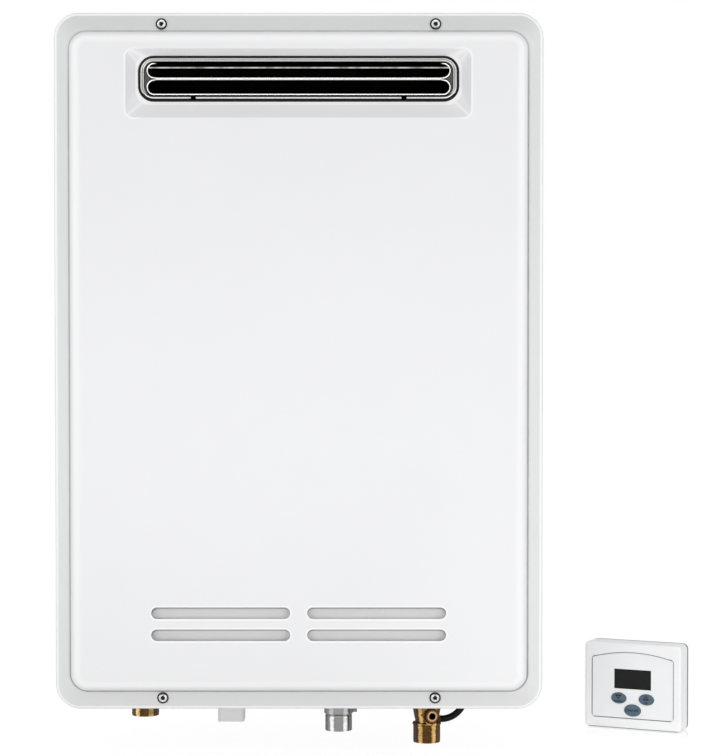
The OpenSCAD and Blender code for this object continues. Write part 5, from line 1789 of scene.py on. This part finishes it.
@dataclass
class Studio:
    """Pale floor, soft lamps, white surroundings and the camera; lengths are in metres."""

    floor_level: float = -510.6 * MM
    floor_r: float = 6.0
    floor_sides: int = 96
    floor_white: float = 0.88
    floor_glow: float = 1.07
    floor_fade: Pair = (0.5, 1.7)
    grit_colour: Colour = (0.92, 0.92, 0.92)
    grit_size: float = 3 * MM
    grit_low: float = 0.99
    grit_gain: float = 0.02
    polish_ahead: Pair = mm(70, 12)
    polish_across: Pair = mm(60, 46)
    polish_share: float = 0.2
    mirror_share: float = 0.8
    mirror_roughness: float = 0.05
    ambient: float = 0.52
    camera_place: Place = (47 * MM, -1990 * MM, -168 * MM)
    camera_drop: float = math.radians(1.56)
    lens: float = 113.2
    sensor: float = 36.0
    sight: float = 50.0
    lamps: tuple[Lamp, ...] = (
        Softbox("key_box", (-1.5, -2.3, 1.1), 5.0, size=(1.6, 1.6)),
        Softbox("fill_box", (1.8, -2.0, 0.5), 3.0, size=(1.5, 1.8)),
        Softbox("top_box", (0.0, -0.7, 1.9), 3.5, size=(1.8, 1.0)),
        Softbox("left_box", (-2.0, -0.4, 0.0), 5.5, size=(0.9, 1.8)),
        Softbox("right_box", (2.0, -0.4, 0.0), 4.5, size=(0.9, 1.8)),
        Softbox("low_box", (0.1, -1.55, -0.43), 9.5, size=(1.8, 0.5)),
        Spotlight("spot_lamp", (-0.2, -1.7, -0.33), 12.0, (0.29, -0.04, -0.478)),
    )

    @staticmethod
    def seen(net: Net) -> Wire:
        """Share of rays that see the surroundings directly, in a mirror or through glass.

        Args:
            net: nodes of the floor or the world.

        Returns:
            1 for those rays and 0 for the rest.
        """
        direct, mirrored, through = (
            net.add("ShaderNodeLightPath", output=name)
            for name in ("Is Camera Ray", "Is Glossy Ray", "Is Transmission Ray")
        )
        return (direct + mirrored + through).least(1.0)

    def floor_material(self) -> bpy.types.Material:
        """Builds the floor's pale grit, its fade into white and the faint mirror under the controller."""
        material = bpy.data.materials.new("pale_floor")
        material.use_nodes = True
        net = Net(material.node_tree)
        level = net.place((1.0, 1.0, 0.0))
        reach = net.add("ShaderNodeVectorMath", {"operation": "LENGTH"}, {0: level}, "Value")
        white = self.floor_white + reach.ease(*self.floor_fade) * (1.0 - self.floor_white)
        across, ahead, _ = net.seated(CONTROLLER_SEAT)
        polish = ahead.ease(*self.polish_ahead) * abs(across).ease(*self.polish_across)
        tone = self.grit_low + net.noise(self.grit_size, Detail.CLOUDY) * self.grit_gain
        dull = net.add("ShaderNodeBsdfDiffuse", inputs={"Color": net.dim(self.grit_colour, tone)})
        mirror = net.add(
            "ShaderNodeBsdfGlossy", inputs={"Color": WHITE, "Roughness": self.mirror_roughness}
        )
        lit = net.add("ShaderNodeMixShader", inputs={0: polish * self.mirror_share, 1: dull, 2: mirror})
        glow = net.add("ShaderNodeEmission", inputs={"Color": WHITE, "Strength": self.floor_glow})
        share = self.seen(net) * (white - polish * self.polish_share)
        surface = net.add("ShaderNodeMixShader", inputs={0: share, 1: lit, 2: glow})
        net.add("ShaderNodeOutputMaterial", inputs={"Surface": surface})
        return material

    def floor(self) -> bpy.types.Object:
        """Adds the floor, which fades into the white surroundings."""
        form = bmesh.new()
        bmesh.ops.create_circle(form, cap_ends=True, segments=self.floor_sides, radius=self.floor_r)
        mesh = bpy.data.meshes.new("floor")
        form.to_mesh(mesh)
        form.free()
        mesh.materials.append(self.floor_material())
        floor = link_object("floor", mesh)
        floor.location.z = self.floor_level
        return floor

    def world(self) -> None:
        """Lights the scene softly from all round, and shows white."""
        world = bpy.data.worlds.new("white_studio")
        world.use_nodes = True
        bpy.context.scene.world = world
        net = Net(world.node_tree)
        soft, white = (
            net.add("ShaderNodeBackground", inputs={"Color": WHITE, "Strength": strength})
            for strength in (self.ambient, 1.0)
        )
        surface = net.add("ShaderNodeMixShader", inputs={0: self.seen(net), 1: soft, 2: white})
        net.add("ShaderNodeOutputWorld", inputs={"Surface": surface})

    def camera(self) -> None:
        """Adds the camera at the photo's place."""
        data = bpy.data.cameras.new("camera")
        data.lens = self.lens
        data.sensor_width = self.sensor
        data.clip_end = self.sight
        camera = link_object("camera", data)
        camera.location = self.camera_place
        camera.rotation_euler = (RIGHT_ANGLE - self.camera_drop, 0.0, 0.0)
        bpy.context.scene.camera = camera

    def build(self) -> None:
        """Sets up the whole studio."""
        bpy.context.scene.view_settings.view_transform = "Standard"
        self.camera()
        self.floor()
        self.world()
        for lamp in self.lamps:
            lamp.build()


def main() -> None:
    """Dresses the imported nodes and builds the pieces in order."""
    logging.basicConfig(level=logging.INFO, format="%(name)s: %(message)s")
    Studio().build()
    book = FinishBook()
    book.dress_nodes(frame["nodes"], frame["record"]["subparts"])
    PipeFittings().build(book)
    Controller().build(book)


if __name__ == "__main__":
    main()
